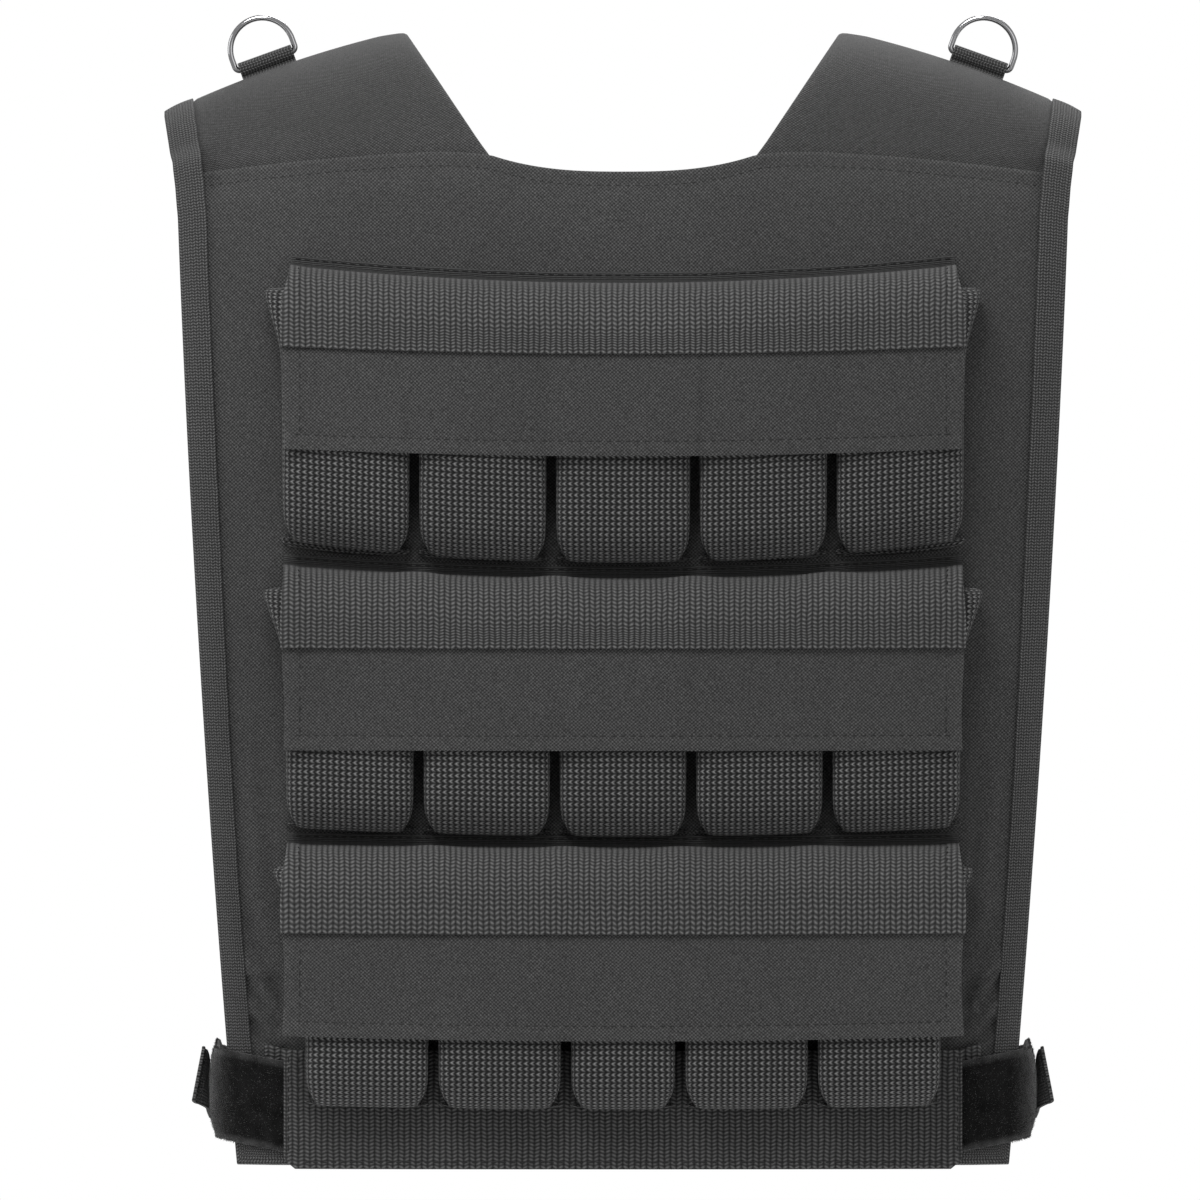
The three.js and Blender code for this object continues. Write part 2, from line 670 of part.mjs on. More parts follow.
function addRing({ name, sign }) {
  const { along, up, pivot } = ringFrame(sign);
  const half = (ringInside + ringWire) / 2;
  const line = [];
  const arc = (cx, cy, radius, from, to, steps) => {
    for (let k = 0; k <= steps; k++) {
      const angle = mix(from, to, k / steps);
      line.push([cx + radius * Math.cos(angle), cy + radius * Math.sin(angle), angle]);
    }
  };
  arc(0, ringLeg, half, 0, Math.PI, 12);
  arc(-half + ringCorner, ringCorner, ringCorner, Math.PI, 1.5 * Math.PI, 3);
  arc(half - ringCorner, ringCorner, ringCorner, 1.5 * Math.PI, 2 * Math.PI, 3);
  const wireSides = 8;
  const rings = line.map(([a, b, angle]) => {
    const centre = pivot.clone().addScaledVector(along, a).addScaledVector(up, b);
    const out = along.clone().multiplyScalar(Math.cos(angle)).addScaledVector(up, Math.sin(angle));
    return Array.from({ length: wireSides }, (_, k) => {
      const round = (2 * Math.PI * (k + 0.5)) / wireSides;
      const point = centre.clone().addScaledVector(out, (ringWire / 2) * Math.cos(round));
      return point.add(new THREE.Vector3(0, (ringWire / 2) * Math.sin(round), 0));
    });
  });
  addLoft(`d_ring_${name}`, nickel, rings, true);
}

// Webbing folded round the ring's straight side, its two layers sewn together down to the pad.
function addRingLoop({ name, sign }) {
  const { along, up, pivot } = ringFrame(sign);
  const bore = ringWire / 2 + ringEase;
  const round = bore + loopThick;
  const join = Math.asin(loopThick / round);
  const outline = new THREE.Shape();
  outline.moveTo(loopThick, -loopRise);
  outline.absarc(0, 0, round, -Math.PI / 2 + join, 1.5 * Math.PI - join, false);
  outline.lineTo(-loopThick, -loopRise);
  outline.closePath();
  const hole = new THREE.Path();
  hole.absarc(0, 0, bore, 0, 2 * Math.PI, true);
  outline.holes.push(hole);
  const geometry = new THREE.ExtrudeGeometry(outline, {
    depth: loopWidth,
    bevelEnabled: false,
    curveSegments: 7,
  });
  geometry.translate(0, 0, -loopWidth / 2);
  const across = new THREE.Vector3().crossVectors(up, along);
  const mesh = new THREE.Mesh(geometry, webbing);
  mesh.name = `d_ring_loop_${name}`;
  mesh.quaternion.setFromRotationMatrix(new THREE.Matrix4().makeBasis(across, up, along));
  mesh.position.copy(pivot);
  vest.add(mesh);
}

for (const face of faces) {
  addPanel(face);
  addBand(`${face.name}_base_band`, face.facing, {
    half: edgeHalf(-bandTop) - bindingWidth - baseBandInset + bindingEase,
    top: bandTop,
    bottom: bandTop + baseBandHeight,
    corner: 0,
    inner: rowLevel,
    thick: clothThick,
  });
  addBand(`${face.name}_band`, face.facing, {
    half: bandHalf,
    top: bandTop,
    bottom: bandBottom,
    corner: bandCorner,
    inner: bandInner,
    thick: webbingThick,
  });
  rowTable.forEach((row, index) => {
    addFlap(face, row, index + 1);
    for (let column = 0; column < pocketCount; column++) addPocket(face, index, column);
  });
}
for (const side of sides) {
  addShoulderPad(side);
  addBinding(side);
  addBelt(side);
  addBeltTab(side);
  addRing(side);
  addRingLoop(side);
}

export default vest;
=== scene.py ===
"""A worn weighted vest in cloth and webbing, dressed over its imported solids."""

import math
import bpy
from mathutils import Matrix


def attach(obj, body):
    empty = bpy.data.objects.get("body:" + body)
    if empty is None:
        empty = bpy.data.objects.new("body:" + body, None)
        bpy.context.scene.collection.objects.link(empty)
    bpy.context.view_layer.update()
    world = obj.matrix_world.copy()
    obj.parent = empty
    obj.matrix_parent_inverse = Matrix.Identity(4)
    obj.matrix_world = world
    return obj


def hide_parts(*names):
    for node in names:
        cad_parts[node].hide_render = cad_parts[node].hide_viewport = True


bl_info = {
    "name": "Weighted Vest",
    "version": (1, 0, 0),
    "blender": (4, 5, 0),
    "location": "View3D > Sidebar > Vest",
    "description": "Sews a weighted vest of pack cloth and webbing over its solid model",
    "category": "Object",
}

import bpy
import numpy as np
from mathutils import Vector

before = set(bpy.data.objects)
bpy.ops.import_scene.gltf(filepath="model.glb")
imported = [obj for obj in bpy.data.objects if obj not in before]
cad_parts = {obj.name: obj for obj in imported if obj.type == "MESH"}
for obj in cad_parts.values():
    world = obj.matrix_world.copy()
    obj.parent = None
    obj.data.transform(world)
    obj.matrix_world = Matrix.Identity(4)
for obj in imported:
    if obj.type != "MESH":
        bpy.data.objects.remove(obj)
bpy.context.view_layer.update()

MM = 0.001
FACES = {"front": -1, "back": 1}
SIDES = {"left": 1, "right": -1}

# The body form and the cut, in millimetres, as the solids have them.
CHEST_DEPTH, SIDE_SWEEP, SIDE_POWER, WAIST_TAPER = 112, 46, 2.4, 12
CHEST_DROP, SHOULDER_POWER, CREST_RISE, CREST_FALL = 150, 2.2, 28.7, 46.5
SHOULDER_HALF, CHEST_HALF, HEM_HALF, SIDE_BULGE = 200.5, 193.8, 168, 2.4
ARMHOLE_DROP, HEM_DROP = 66, 479.5
NECK_HALF, NECK_DROP, NECK_DIP = 58.5, 44.4, 7.4
SEAM_PEAK_HALF, SEAM_PEAK_RISE, SEAM_FALL = 80, 1.4, 9.9
CREST_NECK_HALF, PAD_OVERLAP, PAD_TUCK = 95, 15, 1.2

GAP, LAYER_GAP = 0.3, 0.7
PANEL_THICK, PAD_THICK, CLOTH_THICK, WEBBING_THICK, BELT_THICK = 4, 5, 1.2, 1.5, 2
BINDING_THICK, BINDING_WIDTH, BINDING_EASE = 1, 12, 0.8
PANEL_INNER = LAYER_GAP
PANEL_OUTER = PANEL_INNER + PANEL_THICK
ROW_LEVEL = PANEL_OUTER + LAYER_GAP
UNDER_BAND_OUTER = ROW_LEVEL + CLOTH_THICK
BELT_INNER = max(UNDER_BAND_OUTER, PANEL_OUTER + BINDING_EASE + BINDING_THICK) + LAYER_GAP
BAND_INNER = BELT_INNER + BELT_THICK + LAYER_GAP
BAND_OUTER = BAND_INNER + WEBBING_THICK

POUCHES, ROW_HALF, POUCH_DEPTH, POUCH_TUCK = 5, 152, 23, 3.4
POUCH_CORNER, POUCH_CROWN, POUCH_GAP, SEAM_GAP = 6, 0.6, 4.6, 0.6
MOUTH_LENGTH, MOUTH_DROP = 33, 13
FLAP_HALF, FLAP_STRIP, FLAP_ROLL, FLAP_TUCK = 150, 5, 20, 8
WEBBING_DROP, CLOTH_DROP, FLAP_STEPS = 41, 45, 44
FLAP_CLOTH_INNER = POUCH_DEPTH + POUCH_CROWN + 1.2 * LAYER_GAP
FLAP_REACH = FLAP_CLOTH_INNER + CLOTH_THICK + GAP

BAND_HALF, BAND_TOP, BAND_BOTTOM, BAND_CORNER = 149.5, 431.6, 483.8, 4.5
UNDER_BAND_INSET, UNDER_BAND_HEIGHT = 3, 35
BELT_WIDTH, BELT_TUCK, BELT_TURN, BELT_STAND_OFF, BELT_PINCH = 40, 30, 19, 10, 3
BELT_DROP_AT_BAND, BELT_DROP_AT_SIDE, BELT_DROP_BETWEEN = 462, 452, 447
PILE_LOOPS = 8000  # on each belt
TAB_WIDTH, TAB_LENGTH, TAB_FLICK, TAB_TILT, TAB_REACH, TAB_DROP = 25, 34, 5.5, 0.24, 52, 442

RING_WIRE, RING_INSIDE, RING_LEG, RING_CORNER, RING_EASE = 2.5, 25.6, 5.4, 2.2, 0.65
LOOP_WIDTH, LOOP_THICK, LOOP_RISE, RING_HALF = 25, 1.4, 4.6, 156

ROWS = [
    dict(seam=0.168, webbing=1, show=0.466, lip=1, seam_sag=0.055, webbing_sag=0.023, hem_sag=0.023,
         bottom_sag=0.066, lean=0, shares=(1, 1, 1.05, 1, 1), width=1, flare=9.5, wave=0, proud=1.2),
    dict(seam=0.444, webbing=1.01, show=0.394, lip=0.1, seam_sag=0.037, webbing_sag=0.002, hem_sag=0.002,
         bottom_sag=0.026, lean=0, shares=(1.01, 1, 1, 1, 1.01), width=0.99, flare=12, wave=1.4, proud=0),
    dict(seam=0.7, webbing=1.08, show=0.355, lip=0.1, seam_sag=0.009, webbing_sag=0.003, hem_sag=0.015,
         bottom_sag=0.011, lean=1, shares=(1, 1, 0.86, 1, 1), width=0.933, flare=17, wave=0.9, proud=0),
]


# Body form

def mix(a, b, t):
    return a + (b - a) * t


def smooth(t):
    t = np.clip(t, 0, 1)
    return t * t * (3 - 2 * t)


def bump(distance, width):
    """A soft ridge of height 1 and of the given half width."""
    return np.exp(-((distance / width) ** 2))


def run_along(path):
    """The distance along a path at each of its points."""
    return np.concatenate([[0], np.cumsum(np.linalg.norm(np.diff(path, axis=0), axis=1))])


def crest_height(x):
    return CREST_RISE - CREST_FALL * (x / SHOULDER_HALF) ** 2


def hanging_depth(x, z):
    below = np.maximum(0, (-CHEST_DROP - z) / (HEM_DROP - CHEST_DROP))
    return CHEST_DEPTH - WAIST_TAPER * below**1.5 - SIDE_SWEEP * np.abs(x / SHOULDER_HALF) ** SIDE_POWER


def body_depth(x, z):
    rise = np.clip((z + CHEST_DROP) / (crest_height(x) + CHEST_DROP), 0, 1)
    return hanging_depth(x, z) * (1 - rise**SHOULDER_POWER) ** (1 / SHOULDER_POWER)


def unit(vectors):
    return vectors / np.linalg.norm(vectors, axis=-1, keepdims=True)


def body_normal(x, z):
    """Outward normal of the front body surface."""
    slope_x = body_depth(x + 0.5, z) - body_depth(x - 0.5, z)
    slope_z = body_depth(x, z + 0.5) - body_depth(x, z - 0.5)
    return unit(np.stack([-slope_x, -np.ones_like(slope_x), -slope_z], -1))


def foot_of(x, z, level):
    """Where a point stands on the body that is seen at (x, z) and lies at a level above it."""
    foot_x, foot_z = x, z
    for _ in range(4):
        normal = body_normal(foot_x, foot_z)
        foot_x, foot_z = x - level * normal[..., 0], z - level * normal[..., 2]
    return foot_x, foot_z


def on_body(x, z, level):
    foot = np.stack([x, -body_depth(x, z), z], -1)
    return foot + np.asarray(level)[..., None] * body_normal(x, z)


def seen_at(x, z, level):
    x, z, level = np.broadcast_arrays(np.asarray(x, float), np.asarray(z, float), np.asarray(level, float))
    foot_x, foot_z = foot_of(x, z, level)
    return on_body(foot_x, foot_z, level)


def over_shoulder(x, turn):
    """Point on the turn over the shoulder; turn runs from 0 at chest level in front to 1 at the back."""
    angle = np.pi * turn
    across = np.sign(np.cos(angle)) * np.abs(np.cos(angle)) ** (2 / SHOULDER_POWER)
    up = np.clip(np.sin(angle), 0, 1) ** (2 / SHOULDER_POWER)
    x, across, up = np.broadcast_arrays(x, across, up)
    return np.stack([x, -hanging_depth(x, 0) * across, mix(-CHEST_DROP, crest_height(x), up)], -1)


def shoulder_normal(x, turn):
    along = over_shoulder(x, turn + 0.002) - over_shoulder(x, turn - 0.002)
    sideways = over_shoulder(x + 0.5, turn) - over_shoulder(x - 0.5, turn)
    return unit(np.cross(sideways, along))


def turn_at_height(x, z):
    up = np.clip((z + CHEST_DROP) / (crest_height(x) + CHEST_DROP), 0, 1)
    return np.arcsin(up ** (SHOULDER_POWER / 2)) / np.pi


def edge_half(z):
    up = np.clip((z + HEM_DROP) / (HEM_DROP - ARMHOLE_DROP), 0, 1)
    hanging = mix(HEM_HALF, CHEST_HALF, up) + SIDE_BULGE * 4 * up * (1 - up)
    flare = np.clip((z + ARMHOLE_DROP) / (ARMHOLE_DROP + crest_height(SHOULDER_HALF)), 0, 1)
    return hanging + (SHOULDER_HALF - CHEST_HALF) * flare**1.2


def pad_inner_half(z):
    corner = NECK_DIP - NECK_DROP
    return mix(NECK_HALF, CREST_NECK_HALF, np.clip((z - corner) / (crest_height(CREST_NECK_HALF) - corner), 0, 1))


def shoulder_edge_half(turn):
    x = np.full_like(turn, SHOULDER_HALF, dtype=float)
    for _ in range(6):
        x = edge_half(over_shoulder(x, turn)[..., 2])
    return x


def panel_top(x):
    away = np.abs(x)
    corner = NECK_DIP - NECK_DROP
    peak = corner + SEAM_PEAK_RISE
    neck = -NECK_DROP + NECK_DIP * (np.minimum(away, NECK_HALF) / NECK_HALF) ** 2.7
    to_peak = np.clip((SEAM_PEAK_HALF - away) / (SEAM_PEAK_HALF - NECK_HALF), 0, 1)
    from_peak = np.maximum(0, (away - SEAM_PEAK_HALF) / (CHEST_HALF - SEAM_PEAK_HALF))
    beside = peak - SEAM_PEAK_RISE * to_peak**2 - SEAM_FALL * from_peak**1.5
    return np.where(away < NECK_HALF, neck, beside)


def row_heights(row, x):
    """A row's heights at x: its seam, the webbing's edge, the flap's hem and the pouches' bottoms."""
    sag = (1 - np.minimum(1, (x / ROW_HALF) ** 2)) * ROW_HALF
    seam = -row["seam"] * HEM_DROP
    webbing_edge = seam - row["webbing"] * WEBBING_DROP
    hem = webbing_edge - CLOTH_DROP
    bottom = hem - row["show"] * (WEBBING_DROP + CLOTH_DROP)
    return (seam - row["seam_sag"] * sag, webbing_edge - row["webbing_sag"] * sag,
            hem - row["hem_sag"] * sag, bottom - row["bottom_sag"] * sag)


def row_base(row, z):
    """The level at which a row lies: on the panel, or at the hem on the band."""
    top = -row["seam"] * HEM_DROP
    return mix(ROW_LEVEL, BAND_OUTER + GAP, row["lean"] * np.maximum(0, (top - z) / (top + BAND_TOP)))


def pouch_spans(row):
    shares = np.array(row["shares"], float)
    ends = np.concatenate([[0], np.cumsum(shares)]) / shares.sum()
    ends = ROW_HALF * row["width"] * (2 * ends - 1)
    return list(zip(ends[:-1], ends[1:]))


# Colours and materials

def linear(code):
    """Turn an sRGB hex colour into linear red, green, blue and alpha."""
    parts = [int(code[i:i + 2], 16) / 255 for i in (0, 2, 4)]
    return tuple(c / 12.92 if c <= 0.04045 else ((c + 0.055) / 1.055) ** 2.4 for c in parts) + (1.0,)


def add_node(tree, kind, inputs=(), **settings):
    """Add a node with its settings, and set its inputs or link them; a node given as an input is its first output."""
    added = tree.nodes.new(kind)
    for name, value in settings.items():
        setattr(added, name, value)
    for key, value in dict(inputs).items():
        if isinstance(value, bpy.types.Node):
            value = value.outputs[0]
        if isinstance(value, bpy.types.NodeSocket):
            tree.links.new(value, added.inputs[key])
        else:
            added.inputs[key].default_value = value
    return added


def start_material(name):
    """A new material with an empty tree, and the socket that gives each point's place in metres."""
    material = bpy.data.materials.new(name)
    material.use_nodes = True
    tree = material.node_tree
    tree.nodes.clear()
    return material, tree, add_node(tree, "ShaderNodeTexCoord").outputs["Object"]


def finish_material(material, inputs):
    shader = add_node(material.node_tree, "ShaderNodeBsdfPrincipled", inputs)
    add_node(material.node_tree, "ShaderNodeOutputMaterial", {0: shader})
    return material


TURN = 2 * math.pi

def yarns(rows, crossing, steep, turn, lift, roundness, swing=1.0):
    """Yarns that slant to and fro in rounded rows, as the last rows of a weave."""
    return [
        ("fold", "PINGPONG", rows, 0.5),
        ("slant", "MULTIPLY_ADD", "fold", steep, crossing),
        ("slant_turn", "MULTIPLY", "slant", TURN),
        ("yarn", "SINE", "slant_turn"),
        ("yarn_swing", "MULTIPLY", "yarn", swing),
        ("yarn_lift", "MULTIPLY_ADD", "yarn_swing", lift, 1 - lift),
        ("row_turn", "MULTIPLY", rows, turn),
        ("row_wave", "SINE", "row_turn"),
        ("row_side", "ABSOLUTE", "row_wave"),
        ("row_round", "POWER", "row_side", roundness),
        ("height", "MULTIPLY", "row_round", "yarn_lift"),
    ]


# Weaves, as sums worked row by row from u and v, the millimetres along the cloth. Each row has its result's name, its
# operation and what it works on; the last row is the height of the yarns.
POUCH_WEAVE = [  # rows of chevrons, 2.7 mm across and 2.5 mm down
    ("across", "MULTIPLY", "u", 1 / 2.7),
    ("down", "MULTIPLY", "v", 1 / 2.5),
    *yarns("down", "across", -0.95, TURN / 2, 0.46, 0.7),
]
BINDING_WEAVE = [  # narrow ribs along the edge, crossed in rows 1.35 mm apart
    ("across", "MULTIPLY", "u", 1 / 2.6),
    ("down", "MULTIPLY", "v", 1 / 1.35),
    *yarns("across", "down", 1.0, TURN, 0.35, 0.5),
]
RIB_WEAVE = [  # upright ribs in pairs, 4.9 mm a pair, crossed by slanting yarns 1.9 mm apart
    ("across", "MULTIPLY", "u", 1 / 4.9),
    ("down", "MULTIPLY", "v", 1 / 1.9),
    # at the bend the crossing yarns are hidden, and the strip sewn to the panel shows fine ribs across instead
    ("past_bend", "MULTIPLY_ADD", "v", -1 / 7, -20 / 7),
    ("showing", "MAXIMUM", "past_bend", 0.15),
    ("swing", "MINIMUM", "showing", 1.0),
    ("past_strip", "MULTIPLY_ADD", "v", -1 / 4, -1.3),
    ("raised", "MAXIMUM", "past_strip", 0.12),
    ("shown", "MINIMUM", "raised", 1.0),
    ("hidden", "SUBTRACT", 1.0, "shown"),
    ("fine_turn", "MULTIPLY", "v", TURN / 0.85),
    ("fine_wave", "SINE", "fine_turn"),
    ("fine_rib", "MULTIPLY_ADD", "fine_wave", 0.24, 0.36),
    ("strip", "MULTIPLY", "fine_rib", "hidden"),
    *yarns("across", "down", 1.1, TURN, 0.3, 0.6, "swing"),
    ("height", "MULTIPLY_ADD", "height", "shown", "strip"),
]
BAND_WEAVE = [("across", "MULTIPLY", "u", 1 / 5.2), ("down", "MULTIPLY", "v", 1 / 1.7)] + RIB_WEAVE[2:]
# Oxford cloth's real yarns are about 0.4 mm apart, too fine to show here, so they are drawn 1.7 mm apart.
OXFORD_WEAVE = [
    ("across_turn", "MULTIPLY", "u", TURN / 1.7),
    ("down_turn", "MULTIPLY", "v", TURN / 1.6),
    ("across", "SINE", "across_turn"),
    ("down", "SINE", "down_turn"),
    ("checks", "MULTIPLY", "across", "down"),
    ("height", "MULTIPLY_ADD", "checks", 0.5, 0.5),
]


def woven(name, colour, weave, depth, low, high, curve, fuzz, drift=0.07):
    """A woven cloth or webbing whose yarns lift by its weave, with painted shade between the yarns and painted
    highlights on their crowns, lint and uneven dye over it, and painted shade in its creases and lighter edges, part
    wear and part painted highlight.
    """
    material, tree, place = start_material(name)
    pattern = add_node(tree, "ShaderNodeUVMap", uv_map="cut")
    wander = add_node(tree, "ShaderNodeTexNoise", {"Vector": place, "Scale": 90.0, "Detail": 2.0})
    shift = add_node(tree, "ShaderNodeVectorMath", {0: wander.outputs["Color"], 1: (-0.5, -0.5, -0.5)}, operation="ADD")
    moved = add_node(tree, "ShaderNodeVectorMath", {0: shift, "Scale": 0.0009}, operation="SCALE")
    laid = add_node(tree, "ShaderNodeVectorMath", {0: pattern, 1: moved}, operation="ADD")
    scaled = add_node(tree, "ShaderNodeVectorMath", {0: laid, "Scale": 1000.0}, operation="SCALE")
    apart = add_node(tree, "ShaderNodeSeparateXYZ", {0: scaled})
    worked = {"u": apart, "v": apart.outputs[1]}
    for result, operation, *values in weave:
        inputs = {i: worked.get(value, value) for i, value in enumerate(values)}
        worked[result] = add_node(tree, "ShaderNodeMath", inputs, operation=operation)
    lint = add_node(tree, "ShaderNodeTexNoise", {"Vector": place, "Scale": 1000.0, "Detail": 3.0, "Roughness": 0.75})
    dye = add_node(tree, "ShaderNodeTexNoise", {"Vector": place, "Scale": 14.0, "Detail": 4.0})
    # painted shade and highlight: the yarns' height sets the colour, dark between the yarns and light on their crowns
    painted_yarn_shading = add_node(tree, "ShaderNodeMath", {0: worked["height"], 1: curve}, operation="POWER")
    yarn = add_node(tree, "ShaderNodeMapRange", {0: painted_yarn_shading, 3: low, 4: high})
    specks = add_node(tree, "ShaderNodeMapRange", {0: lint, 1: 0.3, 2: 0.7, 3: 1 - fuzz, 4: 1 + fuzz})
    clouds = add_node(tree, "ShaderNodeMapRange", {0: dye, 1: 0.3, 2: 0.7, 3: 1 - drift, 4: 1 + drift})
    light = add_node(tree, "ShaderNodeMath", {0: yarn, 1: specks}, operation="MULTIPLY")
    light = add_node(tree, "ShaderNodeMath", {0: light, 1: clouds}, operation="MULTIPLY")
    # by the mesh's curvature: painted shade darkens hollows and creases, and convex edges are lighter, part wear and
    # part painted highlight
    corner = add_node(tree, "ShaderNodeNewGeometry").outputs["Pointiness"]
    wear_and_painted_shade = add_node(tree, "ShaderNodeMapRange", {0: corner, 1: 0.44, 2: 0.56, 3: 0.72, 4: 1.3})
    light = add_node(tree, "ShaderNodeMath", {0: light, 1: wear_and_painted_shade}, operation="MULTIPLY")
    dyed = add_node(tree, "ShaderNodeVectorMath", {0: colour[:3], "Scale": light}, operation="SCALE")
    relief = add_node(tree, "ShaderNodeMath", {0: lint, 1: 0.25, 2: worked["height"]},
                      operation="MULTIPLY_ADD")
    raised = add_node(tree, "ShaderNodeBump", {"Height": relief, "Distance": depth * MM, "Strength": 1.0})
    return finish_material(material, {
        "Base Color": dyed, "Roughness": 0.8, "Normal": raised, "Sheen Weight": 0.2,
        "Sheen Roughness": 0.5, "IOR": 1.5, "Specular IOR Level": 0.3})


# Mesh helpers

def deselect():
    for item in bpy.context.selected_objects:
        item.select_set(False)


def only(piece):
    deselect()
    piece.select_set(True)
    bpy.context.view_layer.objects.active = piece


def points_of(piece):
    """A mesh's points in millimetres."""
    flat = np.empty(len(piece.data.vertices) * 3, np.float32)
    piece.data.vertices.foreach_get("co", flat)
    return flat.reshape(-1, 3).astype(float) / MM


def put_points(piece, points):
    piece.data.vertices.foreach_set("co", (np.asarray(points, float) * MM).astype(np.float32).ravel())
    piece.data.update()


def grid(name, columns, rows):
    """A flat grid to lay a cloth from, with each point's share of the way across and up."""
    deselect()
    bpy.ops.mesh.primitive_grid_add(x_subdivisions=columns, y_subdivisions=rows, size=2)
    piece = bpy.context.active_object
    piece.name = piece.data.name = name
    at = points_of(piece) * MM
    return piece, (at[:, 0] + 1) / 2, (at[:, 1] + 1) / 2


def nearest(share, count):
    """The number of the row or column that a share of the way falls on."""
    return np.rint(share * count).astype(int)


def mark_cut(piece, u, v):
    """Keep each point's place on the flat cloth, in metres, as the weave's own map."""
    mesh = piece.data
    while mesh.uv_layers:
        mesh.uv_layers.remove(mesh.uv_layers[0])
    layer = mesh.uv_layers.new(name="cut")
    loops = np.empty(len(mesh.loops), np.int32)
    mesh.loops.foreach_get("vertex_index", loops)
    u, v = np.broadcast_arrays(u, v)
    layer.data.foreach_set("uv", (np.stack([u[loops], v[loops]], -1) * MM).astype(np.float32).ravel())


def modify(piece, kind, **settings):
    """Give a piece a modifier and apply it."""
    only(piece)
    modifier = piece.modifiers.new(kind.title(), kind)
    for name, value in settings.items():
        setattr(modifier, name, value)
    bpy.ops.object.modifier_apply(modifier=modifier.name)


def face_out(piece):
    """Turn a closed shell's faces outwards."""
    only(piece)
    bpy.ops.object.mode_set(mode="EDIT")
    bpy.ops.mesh.select_all(action="SELECT")
    bpy.ops.mesh.normals_make_consistent(inside=False)
    bpy.ops.object.mode_set(mode="OBJECT")


def add_mesh(name, points, faces):
    """A closed piece from points in millimetres and the faces between them."""
    mesh = bpy.data.meshes.new(name)
    mesh.from_pydata((points * MM).tolist(), [], faces)
    piece = bpy.data.objects.new(name, mesh)
    bpy.context.scene.collection.objects.link(piece)
    face_out(piece)
    return piece


def thicken(piece, thick, edge=0.4, segments=2, back=None):
    """Give a laid cloth its thickness, inwards or as far as its back's points, and round its cut edges."""
    modify(piece, "SOLIDIFY", thickness=thick * MM, offset=-1, use_even_offset=False)
    if back is not None:
        points = points_of(piece)
        points[len(back):] = back
        put_points(piece, points)
    if edge:
        modify(piece, "BEVEL", width=edge * MM, segments=segments, limit_method="ANGLE",
               angle_limit=math.radians(50), use_clamp_overlap=True)


def sew_on(piece, material, nodes=(), body="vest"):
    """Finish a piece: its cloth, its shading, the body it rides on and the solids it stands for."""
    piece.data.materials.clear()
    piece.data.materials.append(material)
    only(piece)
    bpy.ops.object.shade_smooth_by_angle(angle=math.radians(40))
    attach(piece, body)
    if nodes:
        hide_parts(*nodes)
    return piece


def facing_points(points, facing):
    """Points made for the front, or the same mirrored onto the back."""
    return points * np.array([1, -facing, 1])


def lay(piece, points, facing, u, v):
    """Lay a cloth made for the front, or its mirror image on the back, with its outer face out."""
    put_points(piece, facing_points(points, facing))
    mark_cut(piece, u, v)
    if facing > 0:
        piece.data.flip_normals()


def lay_side(piece, points, sign, u, v, turned=1):
    """Lay a cloth made for the left, or its mirror image on the right, with its outer face out."""
    put_points(piece, points * np.array([sign, 1, 1]))
    mark_cut(piece, u, v)
    if sign * turned < 0:
        piece.data.flip_normals()


STITCH = {}


def stitch_shape():
    """One stitch: a short rounded bar of thread, pressed flat."""
    if not STITCH:
        deselect()
        bpy.ops.mesh.primitive_uv_sphere_add(segments=6, ring_count=3, radius=1)
        model = bpy.context.active_object
        STITCH["points"] = points_of(model) * MM
        STITCH["faces"] = [list(face.vertices) for face in model.data.polygons]
        bpy.data.objects.remove(model, do_unlink=True)
    return STITCH["points"], STITCH["faces"]


def stitches(name, paths, material, width=0.8, height=0.55):
    """Rows of stitches along paths; each path is its points and the cloth's normals there."""
    sizes = bpy.context.scene.vest_sizes
    length, pitch = sizes.stitch_length / MM, sizes.stitch_pitch / MM
    shape, shape_faces = stitch_shape()
    points, faces = [], []
    for path, normals in paths:
        run = run_along(path)
        count = max(1, int(run[-1] / pitch))
        stations = (np.arange(count) + 0.5) * run[-1] / count
        centre = np.stack([np.interp(stations, run, path[:, k]) for k in range(3)], -1)
        up = unit(np.stack([np.interp(stations, run, normals[:, k]) for k in range(3)], -1))
        ahead = np.stack([np.interp(stations + 0.4, run, path[:, k]) - np.interp(stations - 0.4, run, path[:, k])
                          for k in range(3)], -1)
        ahead = unit(ahead - up * (ahead * up).sum(-1, keepdims=True))
        side = np.cross(up, ahead)
        # the shape's own axes run across, up and along
        placed = (centre[:, None] + shape[None, :, 2:3] * ahead[:, None] * length / 2
                  + shape[None, :, 0:1] * side[:, None] * width / 2
                  + shape[None, :, 1:2] * up[:, None] * height / 2)
        for item in placed:
            base = len(points) * len(shape)
            points.append(item)
            faces.extend([[base + k for k in face] for face in shape_faces])
    sew_on(add_mesh(name, np.concatenate(points), faces), material)


def body_path(x, z, level, facing):
    """A path on a cloth that lies at a level, with the cloth's normals."""
    points = seen_at(x, z, level)
    foot_x, foot_z = foot_of(*np.broadcast_arrays(np.asarray(x, float), np.asarray(z, float), np.asarray(level, float)))
    return facing_points(points, facing), facing_points(body_normal(foot_x, foot_z), facing)


# Sizes and colours that a user may change

class VestSizes(bpy.types.PropertyGroup):
    """Sizes of the sewing and the filling."""

    stitch_length: bpy.props.FloatProperty(
        name="Stitch length", description="Length of one stitch of the topstitching", default=0.0029, min=0.001,
        max=0.01, unit="LENGTH")
    stitch_pitch: bpy.props.FloatProperty(
        name="Stitch pitch", description="Distance from one stitch to the next", default=0.0042, min=0.0015,
        max=0.02, unit="LENGTH")
    pouch_swell: bpy.props.FloatProperty(
        name="Pouch swell", description="Most that a filled pouch may bulge past its pattern", default=0.0016,
        min=0, max=0.006, unit="LENGTH")
    pile_length: bpy.props.FloatProperty(
        name="Pile length", description="Height of the belt's loop pile", default=0.0004, min=0, max=0.003,
        unit="LENGTH")


